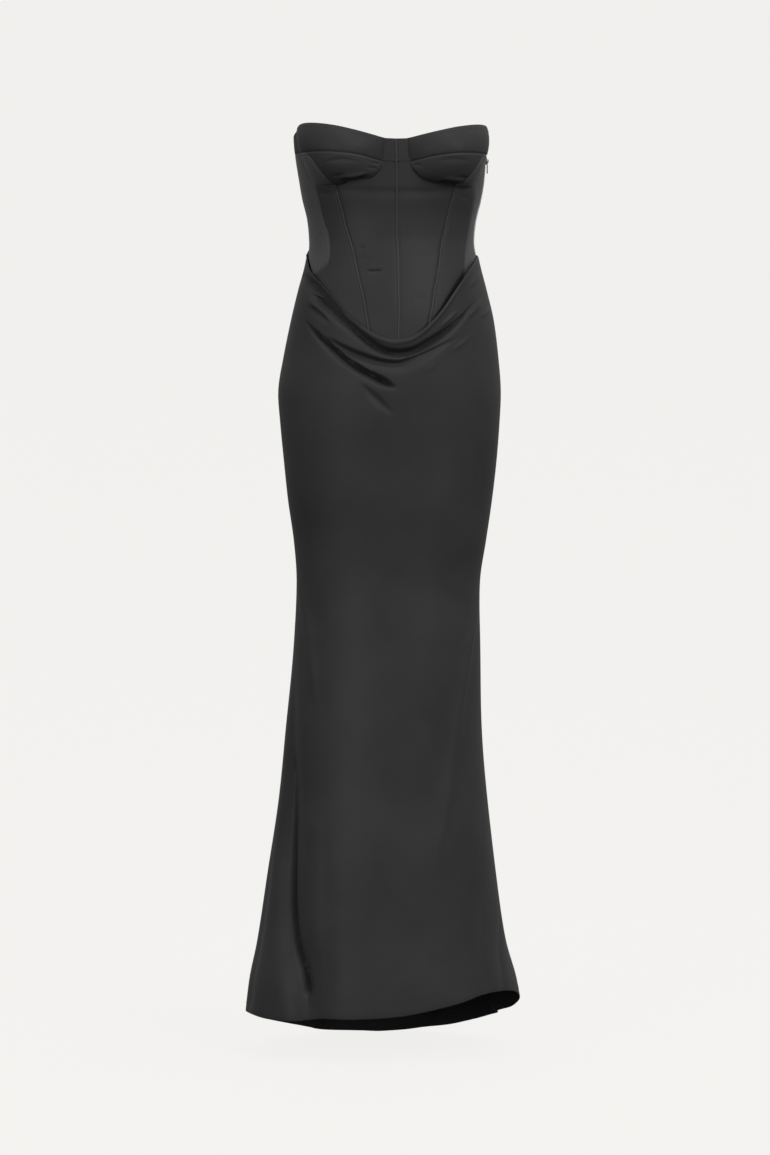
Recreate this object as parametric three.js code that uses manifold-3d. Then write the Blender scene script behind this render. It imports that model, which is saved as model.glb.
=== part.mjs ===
// Strapless corset dress in satin, hollow as it is worn, in millimetres.
// +Z is up, the front faces -Y and +X is the wearer's left. The origin is the middle of the chest at
// the level of the cup seams, where the wearer holds the dress up.
// A corset with moulded cups goes down inside a long fishtail skirt, whose top edge hangs in a cowl.
// The sides of the corset are mesh, and a zip closes the wearer's left side.
// A place on the cloth is an angle round the body, from 0 at the front to 90 on the wearer's left
// and 180 at the back, with a height z.
import * as THREE from "three";
import Module from "manifold-3d";
import { mergeVertices } from "three/addons/utils/BufferGeometryUtils.js";

// Cloth thicknesses and clearances
const CORSET_WALL = 1.8;
const MESH_WALL = 1;
const SKIRT_WALL = 1.5;
const SEAM_GAP = 0.34; // between two pieces that are sewn together
const LAYER_GAP = 0.7; // between the corset and the skirt over it
const TUCK = 5; // how far the corset goes on below the skirt's top edge

// Sections of the body shape: half width, depth to the front and back, and the lean to one side
const SECTIONS = [
  { z: 60, wide: 139, front: 90, back: 84, lean: 0 },
  { z: 30, wide: 140.5, front: 92, back: 88, lean: -0.7 },
  { z: 0, wide: 138.5, front: 91, back: 90, lean: -0.7 },
  { z: -38, wide: 134, front: 88, back: 88, lean: 0.7 },
  { z: -64, wide: 129.5, front: 86, back: 86, lean: 0.7 },
  { z: -93, wide: 122.5, front: 83, back: 83, lean: 0.7 },
  { z: -122, wide: 119.5, front: 83, back: 84, lean: 0.7 },
  { z: -138, wide: 120.5, front: 85, back: 87, lean: 1.4 },
  { z: -165, wide: 126.5, front: 90, back: 95, lean: 2.2 },
  { z: -194, wide: 134.5, front: 95, back: 103, lean: 2.2 },
  { z: -238, wide: 145, front: 102, back: 114, lean: 2.2 },
  { z: -296, wide: 154.5, front: 106, back: 125, lean: 0 },
  { z: -340, wide: 159.5, front: 108, back: 129, lean: -1.8 },
  { z: -383, wide: 157.5, front: 107, back: 127, lean: -1.4 },
  { z: -441, wide: 152.5, front: 104, back: 119, lean: -1 },
  { z: -499, wide: 146, front: 101, back: 111, lean: -1.4 },
  { z: -557, wide: 137.5, front: 97, back: 104, lean: -1.4 },
  { z: -615, wide: 131, front: 95, back: 100, lean: -3.6 },
  { z: -702, wide: 133, front: 99, back: 109, lean: -5.8 },
  { z: -818, wide: 139.5, front: 107, back: 128, lean: -9.4 },
  { z: -934, wide: 149.5, front: 116, back: 147, lean: -10.9 },
  { z: -1050, wide: 165, front: 127, back: 172, lean: -13 },
  { z: -1137, wide: 178.5, front: 136, back: 195, lean: -13.8 },
  { z: -1195, wide: 192.5, front: 142, back: 208, lean: -11.6 },
  { z: -1300, wide: 206, front: 152, back: 228, lean: -8 },
];

// Heights of the dress's top edge, by the angle from the centre front
const NECKLINE = [
  { angle: 0, z: 13 },
  { angle: 6.5, z: 14 },
  { angle: 14, z: 18.5 },
  { angle: 24, z: 25 },
  { angle: 35, z: 31.5 },
  { angle: 48, z: 36.5 },
  { angle: 60, z: 38 },
  { angle: 69, z: 35.5 },
  { angle: 78, z: 31 },
  { angle: 90, z: 26 },
  { angle: 140, z: 18 },
  { angle: 180, z: 14 },
];

// Heights of the skirt's top edge, a deep cowl in front that climbs to the waist at the back
const SKIRT_TOP = [
  { angle: -180, z: -116 },
  { angle: -131, z: -122 },
  { angle: -90, z: -144 },
  { angle: -77, z: -157 },
  { angle: -68, z: -170 },
  { angle: -52, z: -192 },
  { angle: -38, z: -218 },
  { angle: -29, z: -238 },
  { angle: -19, z: -256 },
  { angle: -11, z: -268 },
  { angle: -3, z: -274.5 },
  { angle: 5, z: -271.5 },
  { angle: 11, z: -263 },
  { angle: 20, z: -241 },
  { angle: 32, z: -206 },
  { angle: 40, z: -187 },
  { angle: 51, z: -168 },
  { angle: 69, z: -151 },
  { angle: 90, z: -144 },
  { angle: 131, z: -122 },
  { angle: 180, z: -116 },
];

// Heights of the hem, longer at the back
const HEM = [
  { angle: -180, z: -1297 },
  { angle: -160, z: -1293 },
  { angle: -147, z: -1283 },
  { angle: -132, z: -1270 },
  { angle: -120, z: -1260 },
  { angle: -108, z: -1248 },
  { angle: -95, z: -1238 },
  { angle: -80, z: -1236 },
  { angle: -60, z: -1239 },
  { angle: -43, z: -1239 },
  { angle: -30, z: -1234 },
  { angle: -15, z: -1233 },
  { angle: 3, z: -1229 },
  { angle: 16, z: -1222 },
  { angle: 29, z: -1214 },
  { angle: 40, z: -1206 },
  { angle: 50, z: -1202 },
  { angle: 68, z: -1205 },
  { angle: 84, z: -1217 },
  { angle: 97, z: -1231 },
  { angle: 106, z: -1243 },
  { angle: 118, z: -1255 },
  { angle: 137, z: -1275 },
  { angle: 148, z: -1284 },
  { angle: 158, z: -1290 },
  { angle: 167, z: -1295 },
  { angle: 180, z: -1297 },
];

// Seams of the cups, by the angle from the centre front. The underwire starts beside the gore.
const CUP_SEAM = [
  { angle: 7.5, z: -19 },
  { angle: 13, z: -16.5 },
  { angle: 20, z: -12.5 },
  { angle: 34, z: -8 },
  { angle: 53, z: -5.5 },
  { angle: 72.5, z: -3.5 },
];
const UNDERWIRE = [
  { angle: 7.5, z: -19 },
  { angle: 9, z: -28 },
  { angle: 14.5, z: -40 },
  { angle: 20, z: -45 },
  { angle: 27.5, z: -48.5 },
  { angle: 34, z: -50.5 },
  { angle: 41, z: -51.5 },
  { angle: 50, z: -51.5 },
  { angle: 60, z: -49 },
];
const WIRE_TURN = 2; // the row of UNDERWIRE where the cup's inner edge becomes its lower edge
const WIRE_CASING = 6; // the row where the slanting casing meets the wire
const WIRE_END = 8;
const CUP_OUTER_EDGE = [
  { z: -49, angle: 60 },
  { z: -29, angle: 66.5 },
  { z: -14, angle: 70 },
  { z: 4, angle: 74.5 },
  { z: 20, angle: 77 },
  { z: 31, angle: 78 },
];
const CUP_STRIP_SEAM = [
  { z: -51.5, angle: 41 },
  { z: -32, angle: 45 },
  { z: -15, angle: 49 },
  { z: -5.5, angle: 53 },
];
const GORE_HALF = 6.5; // half of the gore's width at the top, in degrees
const CUP_BUMP = { angle: 36, z: -4, high: 38, topFall: 0.4, inner: 1.1, outer: 1.2 };

// The boned seam of the corset front, and the edge on either side where the satin meets the mesh
const CASING_LINE = [
  { z: -51.5, angle: 41 },
  { z: -86, angle: 38.5 },
  { z: -112, angle: 36.5 },
  { z: -140, angle: 32 },
  { z: -180, angle: 26 },
  { z: -206, angle: 22 },
  { z: -245, angle: 18 },
  { z: -263, angle: 16.3 },
];
const SATIN_EDGE_LEFT = [
  { z: -49, angle: 60 },
  { z: -74, angle: 65 },
  { z: -117, angle: 64.5 },
  { z: -130, angle: 61 },
  { z: -143, angle: 57 },
  { z: -162, angle: 52 },
  { z: -183, angle: 50 },
];
const SATIN_EDGE_RIGHT = [
  { z: -49, angle: 60 },
  { z: -70, angle: 58.5 },
  { z: -91, angle: 58 },
  { z: -106, angle: 55.5 },
  { z: -120, angle: 52.5 },
  { z: -140, angle: 51 },
  { z: -155, angle: 50.5 },
  { z: -164, angle: 53.5 },
  { z: -173, angle: 60 },
  { z: -179, angle: 65 },
];
const BACK_SEAM = 118; // angle where the mesh or the band meets the back
const BAND_BOTTOM = 0;
const CASING = { wide: 5, high: 1.7, gap: 0.55 };

// How far the cowl stands off the corset, on the whole and at the wearer's left front
const COWL = { stand: 5, fade: 60, leftStand: 3, leftAngle: 35, leftSpread: 18 };
const COWL_ROLL = { high: 2.2, below: 3, wide: 4 };
const COWL_CLEAR = 2.6; // least stand of the skirt over the casings

// Troughs of the cowl, as lines over the front view: x and z of each point
const COWL_TROUGHS = [
  {
    deep: 7,
    wide: 5.5,
    line: [[-122, -187], [-97, -218], [-64, -250], [-28, -278], [3, -289], [39, -273], [117, -209]],
  },
  { deep: 6, wide: 6, line: [[-101, -267], [-50, -297], [-11, -307], [20, -301], [68, -277], [94, -265]] },
  { deep: 6, wide: 5.5, line: [[-129, -238], [-107, -267], [-70, -305], [-32, -328], [-6, -342]] },
  { deep: 3, wide: 6, line: [[-51, -338], [-37, -349], [-11, -367]] },
  { deep: 3, wide: 4.5, line: [[-122, -220], [-110, -231], [-101, -241]] },
];

// Flutes of the fishtail: a trough from one angle at its start to another at the hem
const FLUTES = [
  { from: -67, to: -35, start: -850, deep: 14, wide: 6 },
  { from: -34, to: -26, start: -880, deep: 3, wide: 8 },
  { from: -9, to: -8, start: -1000, deep: 2.5, wide: 9 },
  { from: 68, to: 40, start: -940, deep: 9, wide: 7 },
  { from: 86, to: 56, start: -1060, deep: 8, wide: 6 },
  { from: -84, to: -80, start: -980, deep: 8, wide: 8 },
  { from: 112, to: 114, start: -800, deep: 18, wide: 11 },
  { from: 146, to: 144, start: -780, deep: 20, wide: 11 },
  { from: 176, to: 178, start: -800, deep: 16, wide: 10 },
  { from: -150, to: -147, start: -780, deep: 20, wide: 11 },
  { from: -118, to: -116, start: -800, deep: 18, wide: 11 },
];
const FLUTE_SWELL = { share: 0.35, spread: 2.2 }; // the low ridge on both sides of a flute

// Ridges where the straight front turns into the flare, from beside the knees
const KNEE_RIDGES = [
  { high: 3.5, wide: 5, start: -610, end: -1000, from: 90, to: 26 },
  { high: 2.5, wide: 5, start: -600, end: -850, from: -98, to: -44 },
];

// Rows of points down the skirt: how many end at each share of its length
const FRONT_ROWS = [
  { rows: 13, to: 0.1 },
  { rows: 5, to: 0.36 },
  { rows: 12, to: 1 },
];
const BACK_ROWS = [
  { rows: 9, to: 0.36 },
  { rows: 12, to: 1 },
];

// Zip on the wearer's left side, with two hooks above it
const ZIP = { halfAngle: 1.6, top: 24, slider: -6 };
const SLIDER = { wide: 7, tall: 10, thick: 1.8, archWide: 2, archTall: 5, archRise: 2.9, bar: 1 };
const PULL = { long: 18, wide: 6, neck: 4.8, thick: 1, bar: 1, window: 2.8, windowLong: 4.6 };
const HOOK = { heights: [20.5, 8.5], long: 9, tall: 4, thick: 1.3 };

const SATIN = { color: 0x363637, roughness: 0.42, metalness: 0 };
const NET = { color: 0x2e2e2f, roughness: 0.8, metalness: 0 };
const METAL = { color: 0x55565a, roughness: 0.35, metalness: 0.9 };

const radians = (degrees) => (degrees * Math.PI) / 180;
const mix = (a, b, t) => a + (b - a) * t;
const bell = (x) => Math.exp(-x * x);
const smooth = (t) => {
  const s = Math.min(1, Math.max(0, t));
  return s * s * (3 - 2 * s);
};
const turned = (angle) => ((angle + 540) % 360) - 180; // the same angle between -180 and 180

// A smooth function through the rows of a table, from one named column to another
function through(table, from, to) {
  const rows = [...table].sort((a, b) => a[from] - b[from]);
  const slope = (i) => {
    const before = rows[Math.max(0, i - 1)];
    const after = rows[Math.min(rows.length - 1, i + 1)];
    return (after[to] - before[to]) / (after[from] - before[from]);
  };
  return (x) => {
    if (x <= rows[0][from]) return rows[0][to];
    if (x >= rows.at(-1)[from]) return rows.at(-1)[to];
    const i = rows.findIndex((row) => row[from] > x) - 1;
    const span = rows[i + 1][from] - rows[i][from];
    const t = (x - rows[i][from]) / span;
    const bendIn = t * (1 - t) ** 2 * span * slope(i);
    const bendOut = t ** 2 * (1 - t) * span * slope(i + 1);
    return mix(rows[i][to], rows[i + 1][to], smooth(t)) + bendIn - bendOut;
  };
}

const bodyWide = through(SECTIONS, "z", "wide");
const bodyFront = through(SECTIONS, "z", "front");
const bodyBack = through(SECTIONS, "z", "back");
const bodyLean = through(SECTIONS, "z", "lean");
const necklineByAngle = through(NECKLINE, "angle", "z");
const skirtTopByAngle = through(SKIRT_TOP, "angle", "z");
const hemByAngle = through(HEM, "angle", "z");
const cupSeam = through(CUP_SEAM, "angle", "z");
const underwire = through(UNDERWIRE, "angle", "z");
const cupOuterEdge = through(CUP_OUTER_EDGE, "z", "angle");
const cupStripSeam = through(CUP_STRIP_SEAM, "z", "angle");
const casingLine = through(CASING_LINE, "z", "angle");
const cupInnerEdge = through(
  [{ z: CUP_SEAM[0].z, angle: CUP_SEAM[0].angle }, { z: NECKLINE[1].z, angle: GORE_HALF }],
  "z",
  "angle",
);

const neckline = (angle) => necklineByAngle(Math.abs(turned(angle)));
const skirtTop = (angle) => skirtTopByAngle(turned(angle));
const hem = (angle) => hemByAngle(turned(angle));
const corsetHem = (angle) => skirtTop(angle) - TUCK;

// A point on the body shape moved out by some millimetres, at an angle and a height
function body(angle, z, out = 0) {
  const turn = radians(angle);
  const wide = bodyWide(z);
  const deep = Math.cos(turn) >= 0 ? bodyFront(z) : bodyBack(z);
  const normal = new THREE.Vector2(Math.sin(turn) / wide, -Math.cos(turn) / deep).normalize();
  return new THREE.Vector3(
    bodyLean(z) + wide * Math.sin(turn) + out * normal.x,
    -deep * Math.cos(turn) + out * normal.y,
    z,
  );
}

// A point on a cup, which stands out from the body shape within its seams
function cup(angle, z) {
  const away = Math.abs(angle);
  const inner = away < CUP_BUMP.angle;
  const reach = inner ? CUP_BUMP.angle - cupInnerEdge(z) : cupOuterEdge(z) - CUP_BUMP.angle;
  const across = Math.min(1, Math.abs(away - CUP_BUMP.angle) / reach);
  const below = z < CUP_BUMP.z;
  const edge = below ? underwire(away) : neckline(away);
  const along = Math.min(1, Math.abs((z - CUP_BUMP.z) / (edge - CUP_BUMP.z)));
  const fall = below ? Math.sqrt(1 - along ** 2) : 1 - CUP_BUMP.topFall * along ** 2;
  const side = (1 - across ** 2) ** (inner ? CUP_BUMP.inner : CUP_BUMP.outer);
  return body(angle, z, CUP_BUMP.high * fall * side);
}

// Distance from a point to a line of points, and how far along the line it is, from 0 to 1
function nearLine(x, z, line) {
  let best = { away: Infinity, along: 0 };
  line.slice(1).forEach((end, i) => {
    const start = line[i];
    const run = [end[0] - start[0], end[1] - start[1]];
    const share = ((x - start[0]) * run[0] + (z - start[1]) * run[1]) / (run[0] ** 2 + run[1] ** 2);
    const t = Math.min(1, Math.max(0, share));
    const away = Math.hypot(x - start[0] - t * run[0], z - start[1] - t * run[1]);
    if (away < best.away) best = { away, along: (i + t) / (line.length - 1) };
  });
  return best;
}

// How deep the cowl's troughs are at a place on the front
function cowlTroughs(angle, z) {
  const { x } = body(angle, z);
  return COWL_TROUGHS.reduce((sum, { deep, wide, line }) => {
    const { away, along } = nearLine(x, z, line);
    return sum + deep * bell(away / wide) * Math.sin(Math.PI * mix(0.12, 0.88, along));
  }, 0);
}

// How deep the fishtail's flutes are, less the low ridges beside them
function flutes(angle, z) {
  return FLUTES.reduce((sum, { from, to, start, deep, wide }) => {
    const fallen = (start - z) / (start - hem(angle));
    if (fallen <= 0) return sum;
    const apart = Math.abs(turned(angle - mix(from, to, fallen))) / wide;
    const shape = bell(apart) - FLUTE_SWELL.share * bell(apart / FLUTE_SWELL.spread);
    return sum + deep * smooth(fallen * 1.15) * shape;
  }, 0);
}

function kneeRidges(angle, z) {
  return KNEE_RIDGES.reduce((sum, { high, wide, start, end, from, to }) => {
    const t = (start - z) / (start - end);
    if (t <= 0 || t >= 1) return sum;
    const apart = turned(angle - mix(from, to, Math.sqrt(t)));
    return sum + high * bell(apart / wide) * Math.sin(Math.PI * t);
  }, 0);
}

// A point on the skirt's outside
function skirt(angle, z) {
  const below = skirtTop(angle) - z;
  const facing = Math.max(0, Math.cos(radians(angle)));
  const leftFront = COWL.leftStand * bell((turned(angle) - COWL.leftAngle) / COWL.leftSpread);
  let out = (COWL.stand * facing + leftFront) * Math.exp(-below / COWL.fade);
  out += COWL_ROLL.high * facing * bell((below - COWL_ROLL.below) / COWL_ROLL.wide);
  if (facing > 0) {
    const least = mix(COWL_CLEAR * facing, -20, smooth((below - TUCK - 2) / 25));
    out = Math.max(out - cowlTroughs(angle, z), least);
  }
  out += kneeRidges(angle, z) - flutes(angle, z);
  return body(angle, z, LAYER_GAP + SKIRT_WALL + out);
}

// A geometry from points and triangles whose faces all point out, whichever way they were listed
function facingOut(points, index) {
  let volume = 0;
  for (let i = 0; i < index.length; i += 3) {
    const [a, b, c] = [points[index[i]], points[index[i + 1]], points[index[i + 2]]];
    volume += a.dot(b.clone().cross(c));
  }
  if (volume < 0) index.reverse();
  const geometry = new THREE.BufferGeometry().setFromPoints(points);
  geometry.setIndex(index);
  geometry.computeVertexNormals();
  return geometry;
}

// A closed solid of cloth, from the places on its outside and its thickness
function shell(grid, thickness) {
  const outer = inside(grid, 0);
  const inner = inside(grid, thickness);
  const rows = outer.length;
  const cols = outer[0].length;
  const at = (layer, [row, col]) => (layer * rows + row) * cols + col;
  const index = [];
  const quad = (a, b, c, d) => index.push(a, b, c, a, c, d);
  for (let r = 0; r + 1 < rows; r++) {
    for (let c = 0; c + 1 < cols; c++) {
      const corners = [[r, c], [r, c + 1], [r + 1, c + 1], [r + 1, c]];
      quad(...corners.map((corner) => at(0, corner)));
      quad(...corners.reverse().map((corner) => at(1, corner)));
    }
  }
  const rim = [];
  for (let c = 0; c < cols; c++) rim.push([0, c]);
  for (let r = 1; r < rows; r++) rim.push([r, cols - 1]);
  for (let c = cols - 2; c >= 0; c--) rim.push([rows - 1, c]);
  for (let r = rows - 2; r > 0; r--) rim.push([r, 0]);
  rim.forEach((p, i) => {
    const q = rim[(i + 1) % rim.length];
    quad(at(0, q), at(0, p), at(1, p), at(1, q));
  });
  return facingOut([...outer.flat(), ...inner.flat()], index);
}

// A place on a surface: its point, and the direction that the cloth faces there
function placeOn(surface, angle, z) {
  const d = 0.4;
  const along = surface(angle + d, z).sub(surface(angle - d, z));
  const up = surface(angle, z + d).sub(surface(angle, z - d));
  return { point: surface(angle, z), normal: along.cross(up).normalize() };
}

// The points of a grid of places moved towards the body by the cloth's thickness
function inside(grid, thickness) {
  return grid.map((row) => row.map(({ point, normal }) => point.clone().addScaledVector(normal, -thickness)));
}

// A grid of places with its edges drawn in by half a seam's gap, along the cloth
function drawnIn(grid) {
  const lastRow = grid.length - 1;
  const lastCol = grid[0].length - 1;
  const at = (r, c) => grid[Math.min(lastRow, Math.max(0, r))][Math.min(lastCol, Math.max(0, c))].point;
  const step = (from, towards, edgeStart, edgeEnd) => {
    const inward = towards.clone().sub(from);
    const along = edgeEnd.clone().sub(edgeStart).normalize();
    return inward.addScaledVector(along, -inward.dot(along)).setLength(SEAM_GAP / 2);
  };
  return grid.map((row, r) =>
    row.map(({ point, normal }, c) => {
      const moved = point.clone();
      if (r === 0) moved.add(step(point, at(1, c), at(r, c - 1), at(r, c + 1)));
      if (r === lastRow) moved.add(step(point, at(r - 1, c), at(r, c - 1), at(r, c + 1)));
      if (c === 0) moved.add(step(point, at(r, 1), at(r - 1, c), at(r + 1, c)));
      if (c === lastCol) moved.add(step(point, at(r, c - 1), at(r - 1, c), at(r + 1, c)));
      return { point: moved, normal };
    }),
  );
}

// A grid of places on a surface between four edges, each a function from 0 to 1 giving [angle, z]
function patch({ bottom, top, left, right }, surface, rows, cols) {
  const shares = Array.isArray(rows) ? rows : Array.from({ length: rows + 1 }, (_, r) => r / rows);
  return shares.map((v) =>
    Array.from({ length: cols + 1 }, (_, c) => {
      const u = c / cols;
      const place = [0, 1].map((k) => {
        const low = mix(bottom(0)[k], bottom(1)[k], u);
        const high = mix(top(0)[k], top(1)[k], u);
        return mix(bottom(u)[k], top(u)[k], v) + mix(left(v)[k], right(v)[k], u) - mix(low, high, v);
      });
      return placeOn(surface, ...place);
    }),
  );
}

// Edges of a patch: level with a height given by the angle, upright by the height, or along a table
const level = (from, to, height) => (t) => {
  const angle = mix(from, to, t);
  return [angle, height(angle)];
};
const upright = (from, to, angleAt) => (t) => {
  const z = mix(from, to, t);
  return [angleAt(z), z];
};
const alongRows = (table, from, to) => {
  const stations = table.map((row, i) => ({ ...row, at: i }));
  const angle = through(stations, "at", "angle");
  const z = through(stations, "at", "z");
  return (t) => [angle(mix(from, to, t)), z(mix(from, to, t))];
};

const dress = new THREE.Group();
function add(name, geometry, look, parent = dress) {
  const mesh = new THREE.Mesh(geometry, new THREE.MeshStandardMaterial(look));
  mesh.name = name;
  parent.add(mesh);
  return mesh;
}
function addPanel(name, grid, thickness, look) {
  add(name, shell(drawnIn(grid), thickness), look);
}

// Both sides of the front: the edges are drawn for positive angles and turned over for the right
const SIDES = [
  { name: "left", sign: 1, satinEdge: SATIN_EDGE_LEFT },
  { name: "right", sign: -1, satinEdge: SATIN_EDGE_RIGHT },
];
function onSide(sign, edges) {
  const turnOver = (edge) => (t) => [sign * edge(t)[0], edge(t)[1]];
  return Object.fromEntries(Object.entries(edges).map(([name, edge]) => [name, turnOver(edge)]));
}

const seamStart = CUP_SEAM[0];
const stripTop = CUP_STRIP_SEAM.at(-1);
const seamEnd = CUP_SEAM.at(-1);
const cupTop = CUP_OUTER_EDGE.at(-1);
const wireCorner = UNDERWIRE[WIRE_CASING];
const wireEnd = UNDERWIRE[WIRE_END];
const casingFoot = CASING_LINE.at(-1);
const stripSeam = upright(wireCorner.z, stripTop.z, cupStripSeam);

function addCup({ name, sign }) {
  const upper = {
    bottom: level(seamStart.angle, seamEnd.angle, cupSeam),
    top: level(GORE_HALF, cupTop.angle, neckline),
    left: (t) => [mix(seamStart.angle, GORE_HALF, t), mix(seamStart.z, neckline(GORE_HALF), t)],
    right: upright(seamEnd.z, cupTop.z, cupOuterEdge),
  };
  const lower = {
    bottom: alongRows(UNDERWIRE, WIRE_TURN, WIRE_CASING),
    top: level(seamStart.angle, stripTop.angle, cupSeam),
    left: alongRows(UNDERWIRE, WIRE_TURN, 0),
    right: stripSeam,
  };
  const strip = {
    bottom: alongRows(UNDERWIRE, WIRE_CASING, WIRE_END),
    top: level(stripTop.angle, seamEnd.angle, cupSeam),
    left: stripSeam,
    right: upright(wireEnd.z, seamEnd.z, cupOuterEdge),
  };
  addPanel(`upper_cup_${name}`, patch(onSide(sign, upper), cup, 5, 12), CORSET_WALL, SATIN);
  addPanel(`lower_cup_${name}`, patch(onSide(sign, lower), cup, 8, 8), CORSET_WALL, SATIN);
  addPanel(`cup_strip_${name}`, patch(onSide(sign, strip), cup, 8, 4), CORSET_WALL, SATIN);
}

// The front centre follows the slanting seams up, then the underwires, and ends as the gore
function addFrontCentre() {
  const slant = upright(casingFoot.z, wireCorner.z, casingLine);
  const wire = alongRows(UNDERWIRE, WIRE_CASING, 0);
  const rows = { slant: 12, wire: 12, gore: 3 };
  const count = rows.slant + rows.wire + rows.gore;
  const edge = (t) => {
    const row = t * count;
    if (row <= rows.slant) return slant(row / rows.slant);
    if (row <= rows.slant + rows.wire) return wire((row - rows.slant) / rows.wire);
    const share = (row - rows.slant - rows.wire) / rows.gore;
    return [mix(seamStart.angle, GORE_HALF, share), mix(seamStart.z, neckline(GORE_HALF), share)];
  };
  const edges = {
    bottom: level(-casingFoot.angle, casingFoot.angle, (angle) =>
      Math.min(corsetHem(angle), casingFoot.z)),
    top: level(-GORE_HALF, GORE_HALF, neckline),
    left: (t) => [-edge(t)[0], edge(t)[1]],
    right: edge,
  };
  addPanel("front_centre", patch(edges, body, count, 8), CORSET_WALL, SATIN);
}

function addFrontSide({ name, sign, satinEdge }) {
  const foot = satinEdge.at(-1);
  const lift = ({ angle, z }) => z - corsetHem(sign * angle);
  const edges = {
    bottom: (t) => {
      const angle = mix(casingFoot.angle, foot.angle, t);
      return [angle, corsetHem(sign * angle) + mix(lift(casingFoot), lift(foot), t)];
    },
    top: alongRows(UNDERWIRE, WIRE_CASING, WIRE_END),
    left: upright(casingFoot.z, wireCorner.z, casingLine),
    right: upright(foot.z, wireEnd.z, through(satinEdge, "z", "angle")),
  };
  addPanel(`front_side_${name}`, patch(onSide(sign, edges), body, 12, 6), CORSET_WALL, SATIN);
}

// The mesh goes from the satin's edge, and above it the cup's, to a straight seam behind
function addMesh(name, { sign, satinEdge }, behind) {
  const foot = satinEdge.at(-1);
  const satin = upright(foot.z, wireEnd.z, through(satinEdge, "z", "angle"));
  const cupSide = upright(wireEnd.z, BAND_BOTTOM, cupOuterEdge);
  const satinShare = 0.75;
  const height = (angle) => corsetHem(sign * angle);
  const lift = (angle) => ((foot.z - height(foot.angle)) * (behind - angle)) / (behind - foot.angle);
  const edges = {
    bottom: level(foot.angle, behind, (angle) => height(angle) + lift(angle)),
    top: level(cupOuterEdge(BAND_BOTTOM), behind, () => BAND_BOTTOM),
    left: (t) => (t < satinShare ? satin(t / satinShare) : cupSide((t - satinShare) / (1 - satinShare))),
    right: upright(height(behind), BAND_BOTTOM, () => behind),
  };
  const cols = behind > 90 ? 7 : 4;
  addPanel(name, patch(onSide(sign, edges), body, 16, cols), MESH_WALL, NET);
}

function addBand(name, sign, from, to) {
  const edges = {
    bottom: level(from(BAND_BOTTOM), to, () => BAND_BOTTOM),
    top: level(from(cupTop.z), to, neckline),
    left: upright(BAND_BOTTOM, cupTop.z, from),
    right: upright(BAND_BOTTOM, neckline(to), () => to),
  };
  addPanel(name, patch(onSide(sign, edges), body, 3, 4), CORSET_WALL, SATIN);
}

function addStraightPanel(name, from, to, top, rows, cols, thickness, look) {
  const edges = {
    bottom: level(from, to, corsetHem),
    top: level(from, to, top),
    left: upright(corsetHem(from), top(from), () => from),
    right: upright(corsetHem(to), top(to), () => to),
  };
  addPanel(name, patch(edges, body, rows, cols), thickness, look);
}

// A raised casing of even width over a seam line, from one height up to another
function addCasing(name, angleAt, from, to) {
  const rows = 12;
  const offsets = [-0.5, 0, 0.5].map((share) => share * CASING.wide);
  const ridge = (angle, z) => body(angle, z, CASING.gap + CASING.high);
  const grid = Array.from({ length: rows + 1 }, (_, r) => {
    const z = mix(from, to, r / rows);
    const angle = angleAt(z);
    const perDegree = ridge(angle + 0.5, z).distanceTo(ridge(angle - 0.5, z));
    return offsets.map((offset) => {
      return placeOn(ridge, angle + offset / perDegree, z);
    });
  });
  add(name, shell(grid, CASING.high), SATIN);
}

function addSkirt(name, from, to, stations, cols) {
  const shares = stations.reduce(
    (list, { rows, to: end }) => {
      const start = list.at(-1);
      return [...list, ...Array.from({ length: rows }, (_, r) => mix(start, end, (r + 1) / rows))];
    },
    [0],
  );
  const grid = shares.map((share) =>
    Array.from({ length: cols + 1 }, (_, c) => {
      const angle = mix(from, to, c / cols);
      return placeOn(skirt, angle, mix(skirtTop(angle), hem(angle), share));
    }),
  );
  addPanel(name, grid, SKIRT_WALL, SATIN);
}

// Zip slider with its arch, and the pull tab whose bar lies under the arch
const solids = await Module();
solids.setup();

function toSolid(geometry) {
  const plain = geometry.clone();
  plain.deleteAttribute("normal");
  plain.deleteAttribute("uv");
  const merged = mergeVertices(plain);
  return new solids.Manifold(
    new solids.Mesh({
      numProp: 3,
      vertProperties: merged.attributes.position.array,
      triVerts: Uint32Array.from(merged.index.array),
    }),
  );
}
function fromSolid(solid) {
  const { vertProperties, triVerts } = solid.getMesh();
  const geometry = new THREE.BufferGeometry();
  geometry.setAttribute("position", new THREE.BufferAttribute(vertProperties, 3));
  geometry.setIndex(new THREE.BufferAttribute(triVerts, 1));
  geometry.computeVertexNormals();
  return geometry;
}

const outlineShape = (points) => new THREE.Shape(points.map(([a, b]) => new THREE.Vector2(a, b)));

// A flat outline in width and height made into a plate whose thickness is along +X
function plate(shape, thickness) {
  const options = { depth: thickness, bevelEnabled: false, curveSegments: 3 };
  const geometry = new THREE.ExtrudeGeometry(shape, options);
  geometry.applyMatrix4(new THREE.Matrix4().makeBasis(
    new THREE.Vector3(0, 1, 0),
    new THREE.Vector3(0, 0, 1),
    new THREE.Vector3(1, 0, 0),
  ));
  return geometry;
}

function roundedOutline(wide, tall, radius) {
  const [w, h] = [wide / 2, tall / 2];
  const shape = new THREE.Shape();
  shape.moveTo(-w + radius, -h);
  shape.absarc(w - radius, -h + radius, radius, -Math.PI / 2, 0);
  shape.absarc(w - radius, h - radius, radius, 0, Math.PI / 2);
  shape.absarc(-w + radius, h - radius, radius, Math.PI / 2, Math.PI);
  shape.absarc(-w + radius, -h + radius, radius, Math.PI, Math.PI * 1.5);
  return shape;
}

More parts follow.
